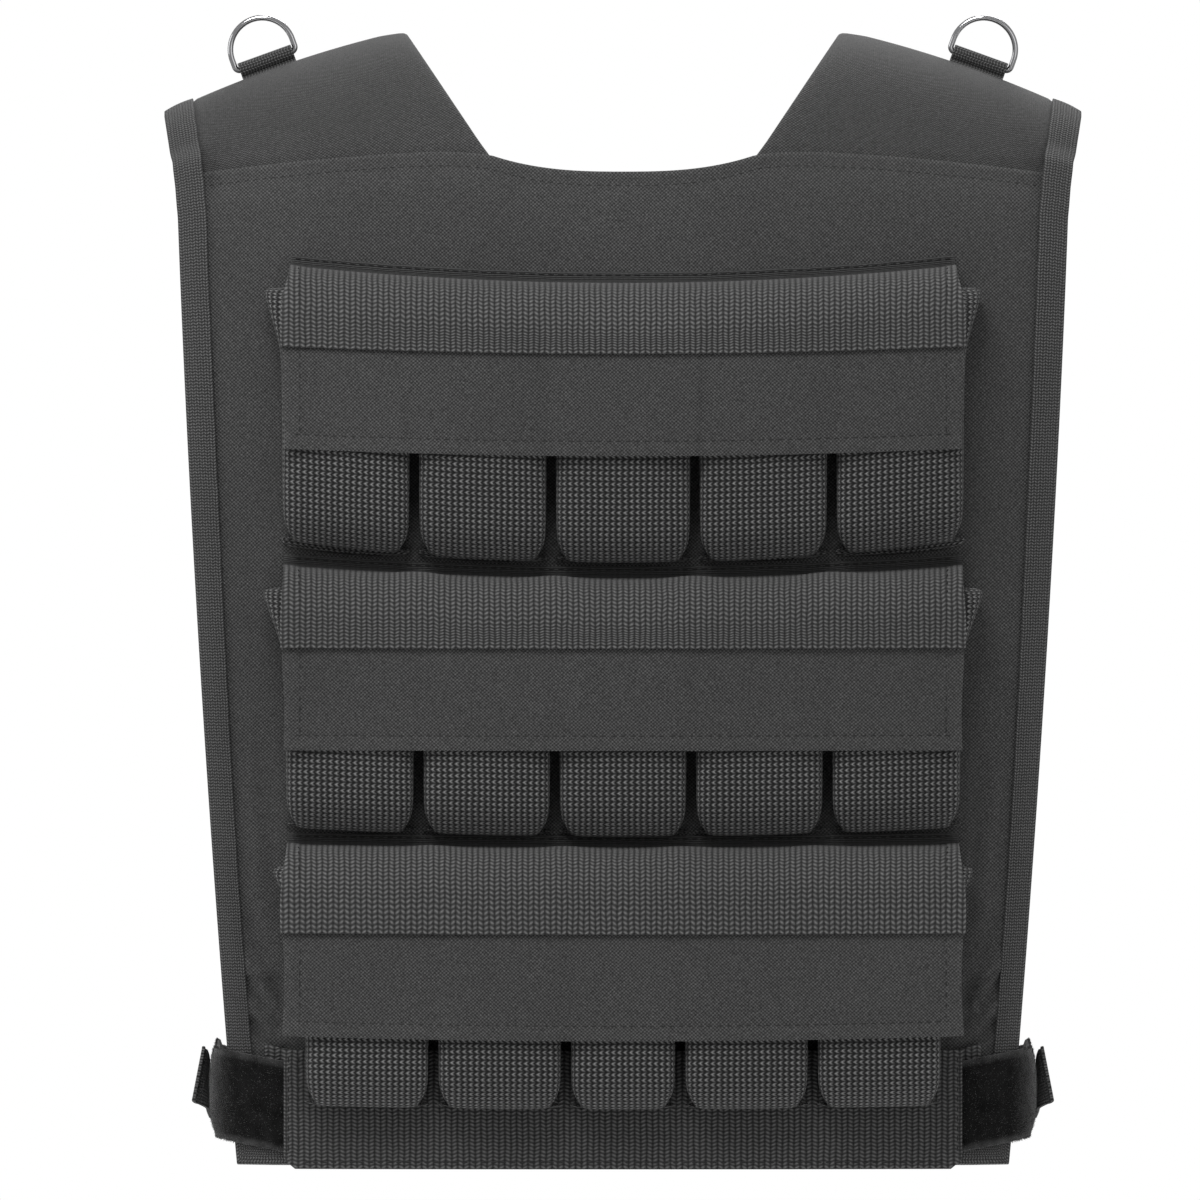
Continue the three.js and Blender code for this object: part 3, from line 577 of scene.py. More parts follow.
class VestColours(bpy.types.PropertyGroup):
    """Colours of the cloths, webbings, thread and wire."""

    cloth: bpy.props.FloatVectorProperty(
        name="Pack cloth", description="Colour of the body, the pads and the flaps", subtype="COLOR", size=4,
        default=linear("4b4b4b"), min=0, max=1)
    webbing: bpy.props.FloatVectorProperty(
        name="Webbing", description="Colour of the pouches, flap webbing and bands", subtype="COLOR", size=4,
        default=linear("4e4e4e"), min=0, max=1)
    pile: bpy.props.FloatVectorProperty(
        name="Loop pile", description="Colour of the belts", subtype="COLOR", size=4, default=linear("151515"),
        min=0, max=1)
    thread: bpy.props.FloatVectorProperty(
        name="Thread", description="Colour of the stitching", subtype="COLOR", size=4, default=linear("222222"),
        min=0, max=1)
    wire: bpy.props.FloatVectorProperty(
        name="Wire", description="Colour of the plated rings", subtype="COLOR", size=4, default=linear("dcdcde"),
        min=0, max=1)


# Each woven material's colour and weave, the height of its yarns, the painted shade between them and the painted
# highlight on their crowns, how sharply it turns from one to the other, and how much lint shows.
WOVEN = {
    # Polyester oxford, plain woven and coated inside: matt, with a fine even grain.
    "oxford_pack_cloth": ("cloth", OXFORD_WEAVE, 0.25, 0.3, 1.85, 1.3, 0.55),
    # Heavy polypropylene webbing: coarse slanting yarns, with a painted highlight on their tops and painted shade
    # between.
    "chevron_pouch_webbing": ("webbing", POUCH_WEAVE, 1.0, 0.1, 4.3, 1.9, 0.2),
    # The same webbing laid with its ribs upright.
    "ribbed_flap_webbing": ("webbing", RIB_WEAVE, 0.8, 0.2, 2.9, 1.8, 0.2),
    "ribbed_band_webbing": ("webbing", BAND_WEAVE, 0.8, 0.12, 2.5, 1.7, 0.2),
    # Thin polypropylene tape, folded and sewn over the cut edge.
    "narrow_binding_webbing": ("webbing", BINDING_WEAVE, 0.6, 0.15, 2.6, 1.6, 0.2),
}


def material_named(name):
    """One of the vest's materials, made the first time that it is asked for."""
    if name in bpy.data.materials:
        return bpy.data.materials[name]
    colours = bpy.context.scene.vest_colours
    if name in WOVEN:
        dyed, weave, *finish = WOVEN[name]
        return woven(name, getattr(colours, dyed), weave, *finish)
    if name == "brushed_loop_pile":
        # Nylon loops brushed into a nap: very dark, soft and without gloss, lighter where seen edge on, with a painted
        # sheen highlight along the belt's edges and on the nap loops.
        return pile_material(name, colours.pile)
    if name == "bonded_sewing_thread":
        # Twisted polyester thread, waxed: slightly glossier than the cloth it is sunk in.
        return thread_material(name, colours.thread)
    if name == "nickel_plated_wire":
        # Bent steel wire, nickel plated and tumbled bright: mirror-like, with faint draw lines.
        return wire_material(name, colours.wire)
    raise ValueError(name)


def pile_material(name, colour):
    material, tree, place = start_material(name)
    loops = add_node(tree, "ShaderNodeTexNoise", {"Vector": place, "Scale": 2200.0, "Detail": 4.0, "Roughness": 0.7})
    matts = add_node(tree, "ShaderNodeTexNoise", {"Vector": place, "Scale": 160.0, "Detail": 3.0})
    both = add_node(tree, "ShaderNodeMath", {0: loops, 1: matts}, operation="MULTIPLY")
    light = add_node(tree, "ShaderNodeMapRange", {0: both, 1: 0.1, 2: 0.42, 3: 0.3, 4: 2.4})
    # painted sheen: the pile is made up to nine times lighter within 3.6 mm of either edge of the belt; the nap loops,
    # which carry no cut map, take it in full
    width = add_node(tree, "ShaderNodeSeparateXYZ", {0: add_node(tree, "ShaderNodeUVMap", uv_map="cut")})
    middle = BELT_WIDTH / 2 * MM
    off = add_node(tree, "ShaderNodeMath", {0: width.outputs[1], 1: middle}, operation="SUBTRACT")
    away = add_node(tree, "ShaderNodeMath", {0: off}, operation="ABSOLUTE")
    painted_edge_sheen = add_node(tree, "ShaderNodeMapRange", {0: away, 1: middle - 3.6 * MM, 2: middle, 3: 1, 4: 9})
    light = add_node(tree, "ShaderNodeMath", {0: light, 1: painted_edge_sheen}, operation="MULTIPLY")
    dyed = add_node(tree, "ShaderNodeVectorMath", {0: colour[:3], "Scale": light}, operation="SCALE")
    raised = add_node(tree, "ShaderNodeBump", {"Height": loops, "Distance": 0.5 * MM, "Strength": 1.0})
    return finish_material(material, {
        "Base Color": dyed, "Roughness": 1.0, "Normal": raised, "Sheen Weight": 0.6,
        "Sheen Roughness": 0.35, "IOR": 1.5, "Specular IOR Level": 0.05})


def thread_material(name, colour):
    material, tree, place = start_material(name)
    twist = add_node(tree, "ShaderNodeTexWave", {"Vector": place, "Scale": 900.0, "Distortion": 1.0},
                     bands_direction="DIAGONAL")
    light = add_node(tree, "ShaderNodeMapRange", {0: twist.outputs["Fac"], 3: 0.7, 4: 1.25})
    dyed = add_node(tree, "ShaderNodeVectorMath", {0: colour[:3], "Scale": light}, operation="SCALE")
    raised = add_node(tree, "ShaderNodeBump", {"Height": twist.outputs["Fac"], "Distance": 0.1 * MM, "Strength": 0.6})
    return finish_material(material, {
        "Base Color": dyed, "Roughness": 0.55, "Normal": raised, "IOR": 1.5})


def wire_material(name, colour):
    material, tree, place = start_material(name)
    marks = add_node(tree, "ShaderNodeTexNoise", {"Vector": place, "Scale": 700.0, "Detail": 4.0})
    rough = add_node(tree, "ShaderNodeMapRange", {0: marks, 1: 0.3, 2: 0.7, 3: 0.1, 4: 0.2})
    raised = add_node(tree, "ShaderNodeBump", {"Height": marks, "Distance": 0.02 * MM, "Strength": 0.5})
    return finish_material(material, {
        "Base Color": colour, "Metallic": 1.0, "Roughness": rough, "Normal": raised})


# Pieces

# Each gather's two ends, as half width and height, how far it stands up or in, and its half width.
GATHERS = ((168, -391, 154, -414, 2.2, 2.0), (167, -411, 149, -427, 2.0, 1.9), (154, -401, 151, -409, -2.8, 3.4),
           (165, -401, 152, -420, -1.8, 2.2), (164, -419, 149, -432, -1.9, 2.2), (164, -375, 158, -392, -1.0, 2.6),
           (160, -300, 154, -372, -0.8, 3.0), (165, -310, 159, -380, 0.8, 3.2))


def panel_relief(x, z):
    """How far the padded body cloth stands above or below its level."""
    depth = panel_top(x) - z
    edge = edge_half(z) - np.abs(x)
    away = np.abs(x)
    # thin along the yoke's seam and the neckline, with a folded ridge and two sewn grooves below it
    thin = mix(1.6, 3.0, smooth((away - NECK_HALF + 4) / 12))
    relief = -thin * (1 - smooth((depth + 1) / 17)) - 0.5 * bump(depth, 0.8)
    relief += 0.35 * bump(depth - 1.1, 0.9) - 0.45 * bump(depth - 2.9, 0.9) + 0.2 * bump(depth - 4.4, 1.1)
    relief -= 0.35 * bump(depth - 6.4, 1.0)
    # gathers beside the belt's ends, where the cloth is drawn in: ridges, and the hollows between them
    for top_x, top_z, end_x, end_z, size, width in GATHERS:
        along = np.clip(((away - top_x) * (end_x - top_x) + (z - top_z) * (end_z - top_z))
                        / ((end_x - top_x) ** 2 + (end_z - top_z) ** 2), 0, 1)
        off = np.hypot(away - mix(top_x, end_x, along), z - mix(top_z, end_z, along))
        relief += size * bump(off, width)
    relief += 0.3 * np.sin(z / 21 + x / 47) * smooth((away - 120) / 40) * smooth((edge - 10) / 10)
    return np.maximum(relief, -3.4)


class VEST_OT_body_cloth(bpy.types.Operator):
    """Lay the front and back body cloth."""

    bl_idname = "vest.body_cloth"
    bl_label = "Body cloth"

    def execute(self, context):
        cloth = material_named("oxford_pack_cloth")
        for face, facing in FACES.items():
            piece, u, v = grid(f"{face}_body_cloth", 110, 132)
            across = 2 * u - 1
            rise = 1 - (1 - v) ** 1.15
            z = mix(-HEM_DROP, panel_top(across * CHEST_HALF), rise)
            for _ in range(3):
                x = across * edge_half(z)
                z = mix(-HEM_DROP, panel_top(x), rise)
            points = seen_at(x, z, PANEL_OUTER + panel_relief(x, z))
            lay(piece, points, facing, x, z)
            foot_x, foot_z = foot_of(x, z, PANEL_OUTER)
            back = facing_points(on_body(foot_x, foot_z, PANEL_INNER), facing)
            thicken(piece, PANEL_THICK, 0.35, 2, back)
            sew_on(piece, cloth, [f"{face}_panel"])
            # two rows along the yoke's seam, the upper one broken by the neckline
            reach = edge_half(panel_top(CHEST_HALF)) - BINDING_WIDTH - 1
            beside_neck = np.linspace(NECK_HALF + 1, reach, 120)
            rows = []
            for x, drop in ((-beside_neck, 2.4), (beside_neck, 2.4), (np.linspace(-1, 1, 240) * reach, 6.4)):
                z = panel_top(x) - drop
                rows.append(body_path(x, z, PANEL_OUTER + panel_relief(x, z) + 0.12, facing))
            stitches(f"{face}_yoke_stitching", rows, material_named("bonded_sewing_thread"))
        return {"FINISHED"}


class VEST_OT_shoulder_pads(bpy.types.Operator):
    """Lay the padded cloth over the shoulders."""

    bl_idname = "vest.shoulder_pads"
    bl_label = "Shoulder pads"

    def execute(self, context):
        cloth = material_named("oxford_pack_cloth")
        for side, sign in SIDES.items():
            piece, u, v = grid(f"padded_shoulder_{side}", 50, 110)
            low = NECK_DIP - NECK_DROP - PAD_OVERLAP
            start = turn_at_height(mix(NECK_HALF, SHOULDER_HALF, u), low)
            turn = mix(start, 1 - start, v)
            inner_start, outer_start = turn_at_height(NECK_HALF, low), turn_at_height(SHOULDER_HALF, low)
            outer = shoulder_edge_half(mix(outer_start, 1 - outer_start, v))
            inner_turn = mix(inner_start, 1 - inner_start, v)
            inner = np.full_like(turn, CREST_NECK_HALF)
            for _ in range(8):
                inner = pad_inner_half(over_shoulder(inner, inner_turn)[:, 2])
            x = mix(inner, outer, u)
            behind = PAD_TUCK * (1 - smooth((np.minimum(v, 1 - v)) / 0.05))
            from_neck = (outer - inner) * u
            from_edge = (outer - inner) * (1 - u)
            swell = 0.85 * smooth(from_neck / 14) * smooth((from_edge - BINDING_WIDTH + 3) / 4)
            swell -= 1.5 * bump(from_neck, 1.6)
            swell = mix(swell, 0, 1 - smooth((np.minimum(v, 1 - v) - 0.04) / 0.05))
            points = over_shoulder(x, turn) + shoulder_normal(x, turn) * (swell - 0.1 - behind)[:, None]
            lay_side(piece, points, sign, x, 150 * np.pi * turn)
            thicken(piece, PAD_THICK - 0.5, 1.6, 3)
            sew_on(piece, cloth, [f"shoulder_pad_{side}"])
        return {"FINISHED"}


def binding_stations():
    """Stations along the left free edge, from the middle of the front hem to the middle of the back hem."""
    side_top = panel_top(edge_half(-47.0))
    corner_half = HEM_HALF
    hem_x = np.linspace(0.4, corner_half - BINDING_WIDTH - 2, 36)
    side_z = np.concatenate([np.linspace(-HEM_DROP + BINDING_WIDTH + 2, -70, 76), np.linspace(-66, side_top - 14, 8)])
    x = np.concatenate([hem_x, [corner_half], edge_half(side_z)])
    z = np.concatenate([np.full_like(hem_x, -HEM_DROP), [-HEM_DROP], side_z])
    into = np.concatenate([np.tile([0, 0, 1], (len(hem_x), 1)), [[-1, 0, 1]], np.tile([-1, 0, 0], (len(side_z), 1))])
    foot_x, foot_z = foot_of(x, z, PANEL_OUTER)
    foot_x = np.maximum(foot_x, 0.3)
    point = on_body(foot_x, foot_z, 0.0)
    normal = body_normal(foot_x, foot_z)
    size = np.linalg.norm(into, axis=1, keepdims=True)
    into = into - normal * (into * normal).sum(-1, keepdims=True)
    into = unit(into) * size
    first = turn_at_height(SHOULDER_HALF, side_top - 10)
    turn = np.linspace(first, 0.5, 38)
    shoulder_x = shoulder_edge_half(turn)
    over_normal = shoulder_normal(shoulder_x, turn)
    standing = mix(PANEL_OUTER, 0.0, smooth((over_shoulder(shoulder_x, turn)[:, 2] - side_top) / 12))
    over = over_shoulder(shoulder_x - standing * over_normal[:, 0], turn)
    over_into = np.tile([-1.0, 0, 0], (len(turn), 1))
    over_into = unit(over_into - over_normal * (over_into * over_normal).sum(-1, keepdims=True))
    point, into, normal = (np.concatenate(pair) for pair in ((point, over), (into, over_into), (normal, over_normal)))
    height = point[:, 2]
    height = np.where(np.arange(len(height)) < len(x), z.tolist() + [0] * len(turn), height)
    low = mix(PANEL_INNER, -PAD_THICK, smooth((height - (side_top - 16)) / 10))
    high = mix(PANEL_OUTER, 0.0, smooth((height - side_top) / 12))
    back = slice(-2, None, -1)
    flip = np.array([1, -1, 1])
    return (np.concatenate([point, point[back] * flip]), np.concatenate([into, into[back] * flip]),
            np.concatenate([normal, normal[back] * flip]), np.concatenate([low, low[back]]),
            np.concatenate([high, high[back]]))


class VEST_OT_bindings(bpy.types.Operator):
    """Fold the webbing binding over the free edges."""

    bl_idname = "vest.bindings"
    bl_label = "Edge bindings"

    def execute(self, context):
        webbing = material_named("narrow_binding_webbing")
        thread = material_named("bonded_sewing_thread")
        point, into, normal, low, high = binding_stations()
        count = len(point)
        # the fold's profile: distance in from the edge, share of the way from high to low, and stand-off there
        flange = np.linspace(BINDING_WIDTH, 1.0, 7)
        lift = BINDING_THICK + mix(0.2, BINDING_EASE, high / PANEL_OUTER)
        narrow = mix(1, 0.8, smooth((-130 - point[:, 2]) / 260))
        bend = [(-1.2, 0.0, 0.75), (-1.8, 0.12, 0.0), (-1.9, 0.5, 0.0), (-1.8, 0.88, 0.0), (-1.2, 1.0, 0.75)]
        fold = [(w, 0.55 + 0.45 * math.sin(math.pi * min(1, (w + 2) / 14))) for w in flange]
        profile = [(w, 0.0, stand) for w, stand in fold] + bend + [(w, 1.0, stand) for w, stand in fold[::-1]]
        run = run_along(point)
        for side, sign in SIDES.items():
            piece, u, v = grid(f"folded_binding_{side}", len(profile) - 1, count - 1)
            i = nearest(u, len(profile) - 1)
            j = nearest(v, count - 1)
            table = np.array(profile)[i]
            level = mix(high[j], low[j], table[:, 1]) + lift[j] * table[:, 2] * np.where(table[:, 1] < 0.5, 1, -1)
            inward = table[:, 0] * np.where(table[:, 0] > 0, narrow[j], 1)
            placed = point[j] + into[j] * inward[:, None] + normal[j] * level[:, None]
            lay_side(piece, placed, sign, run_along(np.array(profile)[:, :2])[i], run[j], -1)
            thicken(piece, BINDING_THICK * 0.9, 0.3, 2)
            sew_on(piece, webbing, [f"edge_binding_{side}"])
            rows = []
            for end, level in ((0, high + lift * 0.8), (1, low - lift * 0.8)):
                path = point + into * (BINDING_WIDTH * narrow - 2.2)[:, None] + normal * level[:, None]
                turned = normal * (1 if end == 0 else -1)
                rows.append((path * [sign, 1, 1], turned * [sign, 1, 1]))
            stitches(f"binding_stitching_{side}", rows, thread, width=0.6, height=0.5)
        return {"FINISHED"}


def pouch_cage(row_index, column):
    """A pouch's points in the flat: each ring from the sewn lip up to the mouth, as across, level and height."""
    row = ROWS[row_index]
    start, end = pouch_spans(row)[column]
    middle = (start + end) / 2
    outward = -1 if column == 0 else 1 if column == POUCHES - 1 else 0
    sections = [  # from which mark, rise, depth share, tuck share, sewn
        ("lip", 0, 0.065, 0, True), ("bottom", 0.9 * POUCH_TUCK, 0.065, 0, True), ("bottom", -0.8, 0.28, 1, False),
        ("bottom", 0.2, 0.45, 1, False), ("bottom", 3.2, 0.63, 0.85, False), ("bottom", 6.5, 0.77, 0.6, False),
        ("bottom", 10, 0.88, 0.3, False), ("bottom", 15, 0.96, 0.1, False), ("bottom", 22, 1, 0, False),
        ("middle", 0, 1, 0, False), ("mouth", -MOUTH_LENGTH, 1, 0, False), ("mouth", -22, 1, 0, False),
        ("mouth", -10, 1, 0, False), ("mouth", -4, 0.85, 0, False), ("mouth", 0, 0.5, 0, False),
    ]
    rings = []
    for mark, rise, share, tuck, sewn in sections:
        half = (end - start - (SEAM_GAP if sewn else POUCH_GAP)) / 2
        if mark == "bottom" and not sewn:
            half -= 4.6 * (1 - min(1, (rise + 0.8) / 13)) ** 2
        full = share * POUCH_DEPTH
        corner = min(POUCH_CORNER * 0.8, full * 0.7)
        arc = [(half - corner * (1 - math.cos(a)), full - corner * (1 - math.sin(a))) for a in (0, 0.52, 1.05, 1.57)]
        right = [(half / 2, 0), (half, 0)] + ([(half, full / 2 - corner / 2)] if full > 8 else [(half, 0.3 * full)])
        right += arc + [(half * 0.62, full + POUCH_CROWN * share * 0.5), (half * 0.3, full + POUCH_CROWN * share * 0.8)]
        outline = [(0, 0)] + right + [(0, full + POUCH_CROWN * share)] + [(-a, d) for a, d in right[::-1]]
        a, level = np.array(outline).T
        x = middle + a
        seam, _, _, bottom = row_heights(row, x)
        following = row_heights(ROWS[row_index + 1], x)[0] if row_index + 1 < len(ROWS) else -BAND_BOTTOM + 0 * x
        mouth = seam - MOUTH_DROP
        marks = {"lip": np.maximum(bottom - row["lip"] * FLAP_STRIP, following + 2 * GAP), "bottom": bottom,
                 "middle": (bottom + 21 + mouth - MOUTH_LENGTH) / 2, "mouth": mouth}
        z = marks[mark] + rise + tuck * POUCH_TUCK * (1 - level / full)
        near = np.clip(1 - (mouth - z) / MOUTH_LENGTH, 0, 1)
        on_outer = (np.sign(a) == outward) & (outward != 0)
        x = x + outward * row["flare"] * near * on_outer * np.abs(a / half) ** 4
        rings.append(np.stack([x, level, z], -1))
    return np.array(rings), middle


class VEST_OT_pouches(bpy.types.Operator):
    """Sew the rows of filled pouches."""

    bl_idname = "vest.pouches"
    bl_label = "Weight pouches"

    def execute(self, context):
        webbing = material_named("chevron_pouch_webbing")
        swell = context.scene.vest_sizes.pouch_swell / MM
        made = []
        for row_index in range(len(ROWS)):
            for column in range(POUCHES):
                rings, middle = pouch_cage(row_index, column)
                count = rings.shape[1]
                piece, u, v = grid(f"flat_pouch_r{row_index + 1}_c{column + 1}", count, len(rings) - 1)
                i = nearest(u, count) % count
                j = nearest(v, len(rings) - 1)
                flat = rings[j, i]
                put_points(piece, flat * np.array([1, -1, 1]))
                steps = np.linalg.norm(np.diff(np.concatenate([rings, rings[:, :1]], 1), axis=1)[..., :2], axis=-1)
                girth = np.concatenate([np.zeros((len(rings), 1)), np.cumsum(steps, 1)], 1)
                girth -= girth[:, [count // 2]]
                climb = run_along(rings[:, count // 2])
                column_of = nearest(u, count)
                mark_cut(piece, girth[j, column_of] + middle, climb[j])
                only(piece)
                bpy.ops.object.mode_set(mode="EDIT")
                bpy.ops.mesh.select_all(action="SELECT")
                bpy.ops.mesh.remove_doubles(threshold=0.00002)
                bpy.ops.mesh.select_mode(type="EDGE")
                bpy.ops.mesh.select_all(action="DESELECT")
                bpy.ops.mesh.select_non_manifold()
                bpy.ops.mesh.edge_face_add()
                bpy.ops.mesh.select_all(action="SELECT")
                bpy.ops.mesh.normals_make_consistent(inside=False)
                bpy.ops.object.mode_set(mode="OBJECT")
                modify(piece, "SUBSURF", levels=1, render_levels=1)
                made.append((piece, row_index, column))
        self.fill(context, [piece for piece, _, _ in made], swell)
        for piece, row_index, column in made:
            modify(piece, "SUBSURF", levels=1, render_levels=1)
            row = ROWS[row_index]
            flat = points_of(piece)
            level = np.maximum(-flat[:, 1], 0.05)
            name = f"r{row_index + 1}_c{column + 1}"
            for face, facing in FACES.items():
                worn = piece.copy()
                worn.data = piece.data.copy()
                worn.name = worn.data.name = f"{face}_pouch_{name}"
                context.scene.collection.objects.link(worn)
                points = seen_at(flat[:, 0], flat[:, 2], row_base(row, flat[:, 2]) + level)
                put_points(worn, facing_points(points, facing))
                if facing > 0:
                    worn.data.flip_normals()
                sew_on(worn, webbing, [f"{face}_pocket_{name}"])
            bpy.data.objects.remove(piece, do_unlink=True)
        return {"FINISHED"}

    def fill(self, context, pieces, swell):
        """Blow the pouches out round their weights, held at the seams, and cap how far they bulge."""
        scene = context.scene
        before = {}
        for piece in pieces:
            flat = points_of(piece)
            before[piece.name] = flat
            group = piece.vertex_groups.new(name="sewn")
            held = [k for k, p in enumerate(flat) if -p[1] < 2.0]
            group.add(held, 1.0, "REPLACE")
            cloth = piece.modifiers.new("Filling", "CLOTH")
            settings = cloth.settings
            settings.vertex_group_mass = "sewn"
            settings.use_pressure = True
            settings.uniform_pressure_force = 4.0
            settings.effector_weights.gravity = 0
            settings.quality = 5
            settings.mass = 0.3
            settings.tension_stiffness = settings.compression_stiffness = 40
            settings.bending_stiffness = 2.0
            cloth.point_cache.frame_start, cloth.point_cache.frame_end = 1, 20
        for step in range(1, 21):
            scene.frame_set(step)
        for piece in pieces:
            only(piece)
            bpy.ops.object.modifier_apply(modifier="Filling")
            moved = points_of(piece) - before[piece.name]
            far = np.linalg.norm(moved, axis=1, keepdims=True)
            put_points(piece, before[piece.name] + moved * np.minimum(1, swell / np.maximum(far, 1e-6)))
            piece.vertex_groups.clear()
        scene.frame_set(1)


def flap_half(row_index, down):
    """Half width of a flap at a distance below its seam: it splays a little over the pouches' mouths."""
    narrow = (4.0, 0.6, 2.4)[row_index]
    return FLAP_HALF - narrow * (1 - smooth(down / 26)) + 1.0 * bump(down - 33, 14)


def flap_run():
    """The flap's path from its sewn strip, out over the mouths and down, smoothed: out as a share, down in mm."""
    path = np.array([(0, 0), (0, FLAP_STRIP * 0.5), (0, FLAP_STRIP), (0.04, FLAP_STRIP + 1.3), (0.12, FLAP_STRIP + 1.4),
                     (0.32, FLAP_STRIP + 1.4), (0.58, FLAP_STRIP + 2.4), (0.84, FLAP_STRIP + 0.41 * FLAP_ROLL),
                     (1, FLAP_STRIP + 0.82 * FLAP_ROLL), (1, FLAP_STRIP + 1.2 * FLAP_ROLL), (1, WEBBING_DROP)])
    for _ in range(3):
        cut = np.concatenate([path[:1], np.stack([mix(path[:-1], path[1:], 0.25), mix(path[:-1], path[1:], 0.75)], 1)
                              .reshape(-1, 2), path[-1:]])
        path = cut
    scaled = path * [FLAP_REACH, 1]
    run = run_along(scaled)
    at = np.linspace(0, run[-1], FLAP_STEPS + 1)
    return np.interp(at, run, path[:, 0]), np.interp(at, run, path[:, 1]), at


class VEST_OT_flaps(bpy.types.Operator):
    """Sew each row's flap: the webbing that turns over the mouths, and the cloth that hangs from it."""

    bl_idname = "vest.flaps"
    bl_label = "Flaps"

    def execute(self, context):
        webbing = material_named("ribbed_flap_webbing")
        cloth = material_named("oxford_pack_cloth")
        thread = material_named("bonded_sewing_thread")
        out, down, run = flap_run()
        for face, facing in FACES.items():
            for index, row in enumerate(ROWS):
                name = f"r{index + 1}"
                piece, u, v = grid(f"{face}_turned_webbing_{name}", 84, FLAP_STEPS)
                k = nearest(1 - v, FLAP_STEPS)
                half = flap_half(index, down[k])
                x = (2 * u - 1) * half
                z, level = self.webbing_place(row, x, k, out, down)
                points = seen_at(x, z, level)
                lay(piece, points, facing, x, -run[k])
                thicken(piece, WEBBING_THICK, 0.45)
                sew_on(piece, webbing, [f"{face}_flap_webbing_{name}"])

                piece, u, v = grid(f"{face}_hanging_cloth_{name}", 96, 22)
                j = 1 - v
                _, edge, hem, _ = row_heights(row, (2 * u - 1) * FLAP_HALF)
                z = mix(edge + FLAP_TUCK, hem, j)
                x = (2 * u - 1) * (FLAP_HALF - 0.4 + 0.6 * np.sin(j * 5 + index))
                level = row_base(row, z) + FLAP_CLOTH_INNER + CLOTH_THICK + self.cloth_relief(index, x, z, hem, j)
                lay(piece, seen_at(x, z, level), facing, x, z)
                thicken(piece, CLOTH_THICK * 0.9, 0.35)
                sew_on(piece, cloth, [f"{face}_flap_cloth_{name}"])
                self.stitch(face, facing, index, row, thread)
        return {"FINISHED"}

    @staticmethod
    def webbing_place(row, x, k, out, down):
        last = len(down) - 1
        seam, edge, _, _ = row_heights(row, x)
        wave = sum(bump(x - start, 11) for start, _ in pouch_spans(row)[1:]) - 0.4

        def at(m):
            m = np.clip(m, 0, last)
            share = down[m] / down[-1]
            z = seam - down[m] + (edge - (seam - WEBBING_DROP)) * smooth((share - 0.6) / 0.4)
            z = z + row["wave"] * wave * smooth(out[m] / 0.3) * smooth((1 - share) / 0.5)
            proud = row["proud"] * (1 - smooth((np.abs(x) - 31) / 3.5)) * smooth((share - 0.35) / 0.4)
            return row_base(row, z) + out[m] * FLAP_REACH + proud, z

        level, z = at(k)
        level_before, z_before = at(k - 1)
        level_after, z_after = at(k + 1)
        length = np.hypot(level_after - level_before, z_after - z_before)
        thick = WEBBING_THICK + 0.55 * smooth((np.abs(x) - (FLAP_HALF - 7.5)) / 1.0)
        level = level + thick * (z_before - z_after) / length
        z = z + thick * (level_after - level_before) / length
        return z, level

    @staticmethod
    def cloth_relief(index, x, z, hem, j):
        """Soft waves, the doubled hem, and dents where the flap bridges from pouch to pouch."""
        relief = 0.35 * np.sin(x / 31 + index * 2.1) * smooth(j * 1.4) + 0.45 * smooth((6.2 - (z - hem)) / 1.2)
        relief += 0.4 * smooth((np.abs(x) - (FLAP_HALF - 7.5)) / 1.0)
        relief += ROWS[index]["proud"] * (1 - smooth((np.abs(x) - 31 + 3 * (j - 0.5)) / 3.5))
        for start, _ in pouch_spans(ROWS[index])[1:]:
            relief -= 0.5 * bump(x - start, 5) * smooth(j * 2)
        return relief

    @staticmethod
    def stitch(face, facing, index, row, thread):
        x = np.linspace(-1, 1, 200) * (FLAP_HALF - 5)
        _, edge, hem, _ = row_heights(row, x)
        rows = []

        def on_cloth(x, z, top, low):
            j = (top + FLAP_TUCK - z) / (top + FLAP_TUCK - low)
            relief = VEST_OT_flaps.cloth_relief(index, x, z, low, j)
            return body_path(x, z, row_base(row, z) + FLAP_CLOTH_INNER + CLOTH_THICK + relief + 0.06, facing)

        rows.append(on_cloth(x, hem + 6.6, edge, hem))
        for side in (-1, 1):
            edge_x = np.full(60, side * (FLAP_HALF - 7.9))
            _, top, low, _ = row_heights(row, edge_x)
            rows.append(on_cloth(edge_x, mix(top - 1, low + 6.6, np.linspace(0, 1, 60)), top, low))
        out, down, _ = flap_run()
        k = np.arange(14, FLAP_STEPS + 1)
        for side in (-1, 1):
            edge_x = side * (FLAP_HALF - 7.6) * np.ones(len(k))
            z, level = VEST_OT_flaps.webbing_place(row, edge_x, k, out, down)
            rows.append(body_path(edge_x, z, level + 0.1, facing))
        z, level = VEST_OT_flaps.webbing_place(row, x, np.full(len(x), 1), out, down)
        rows.append(body_path(x, z, level + 0.1, facing))
        stitches(f"{face}_flap_stitching_r{index + 1}", rows, thread)


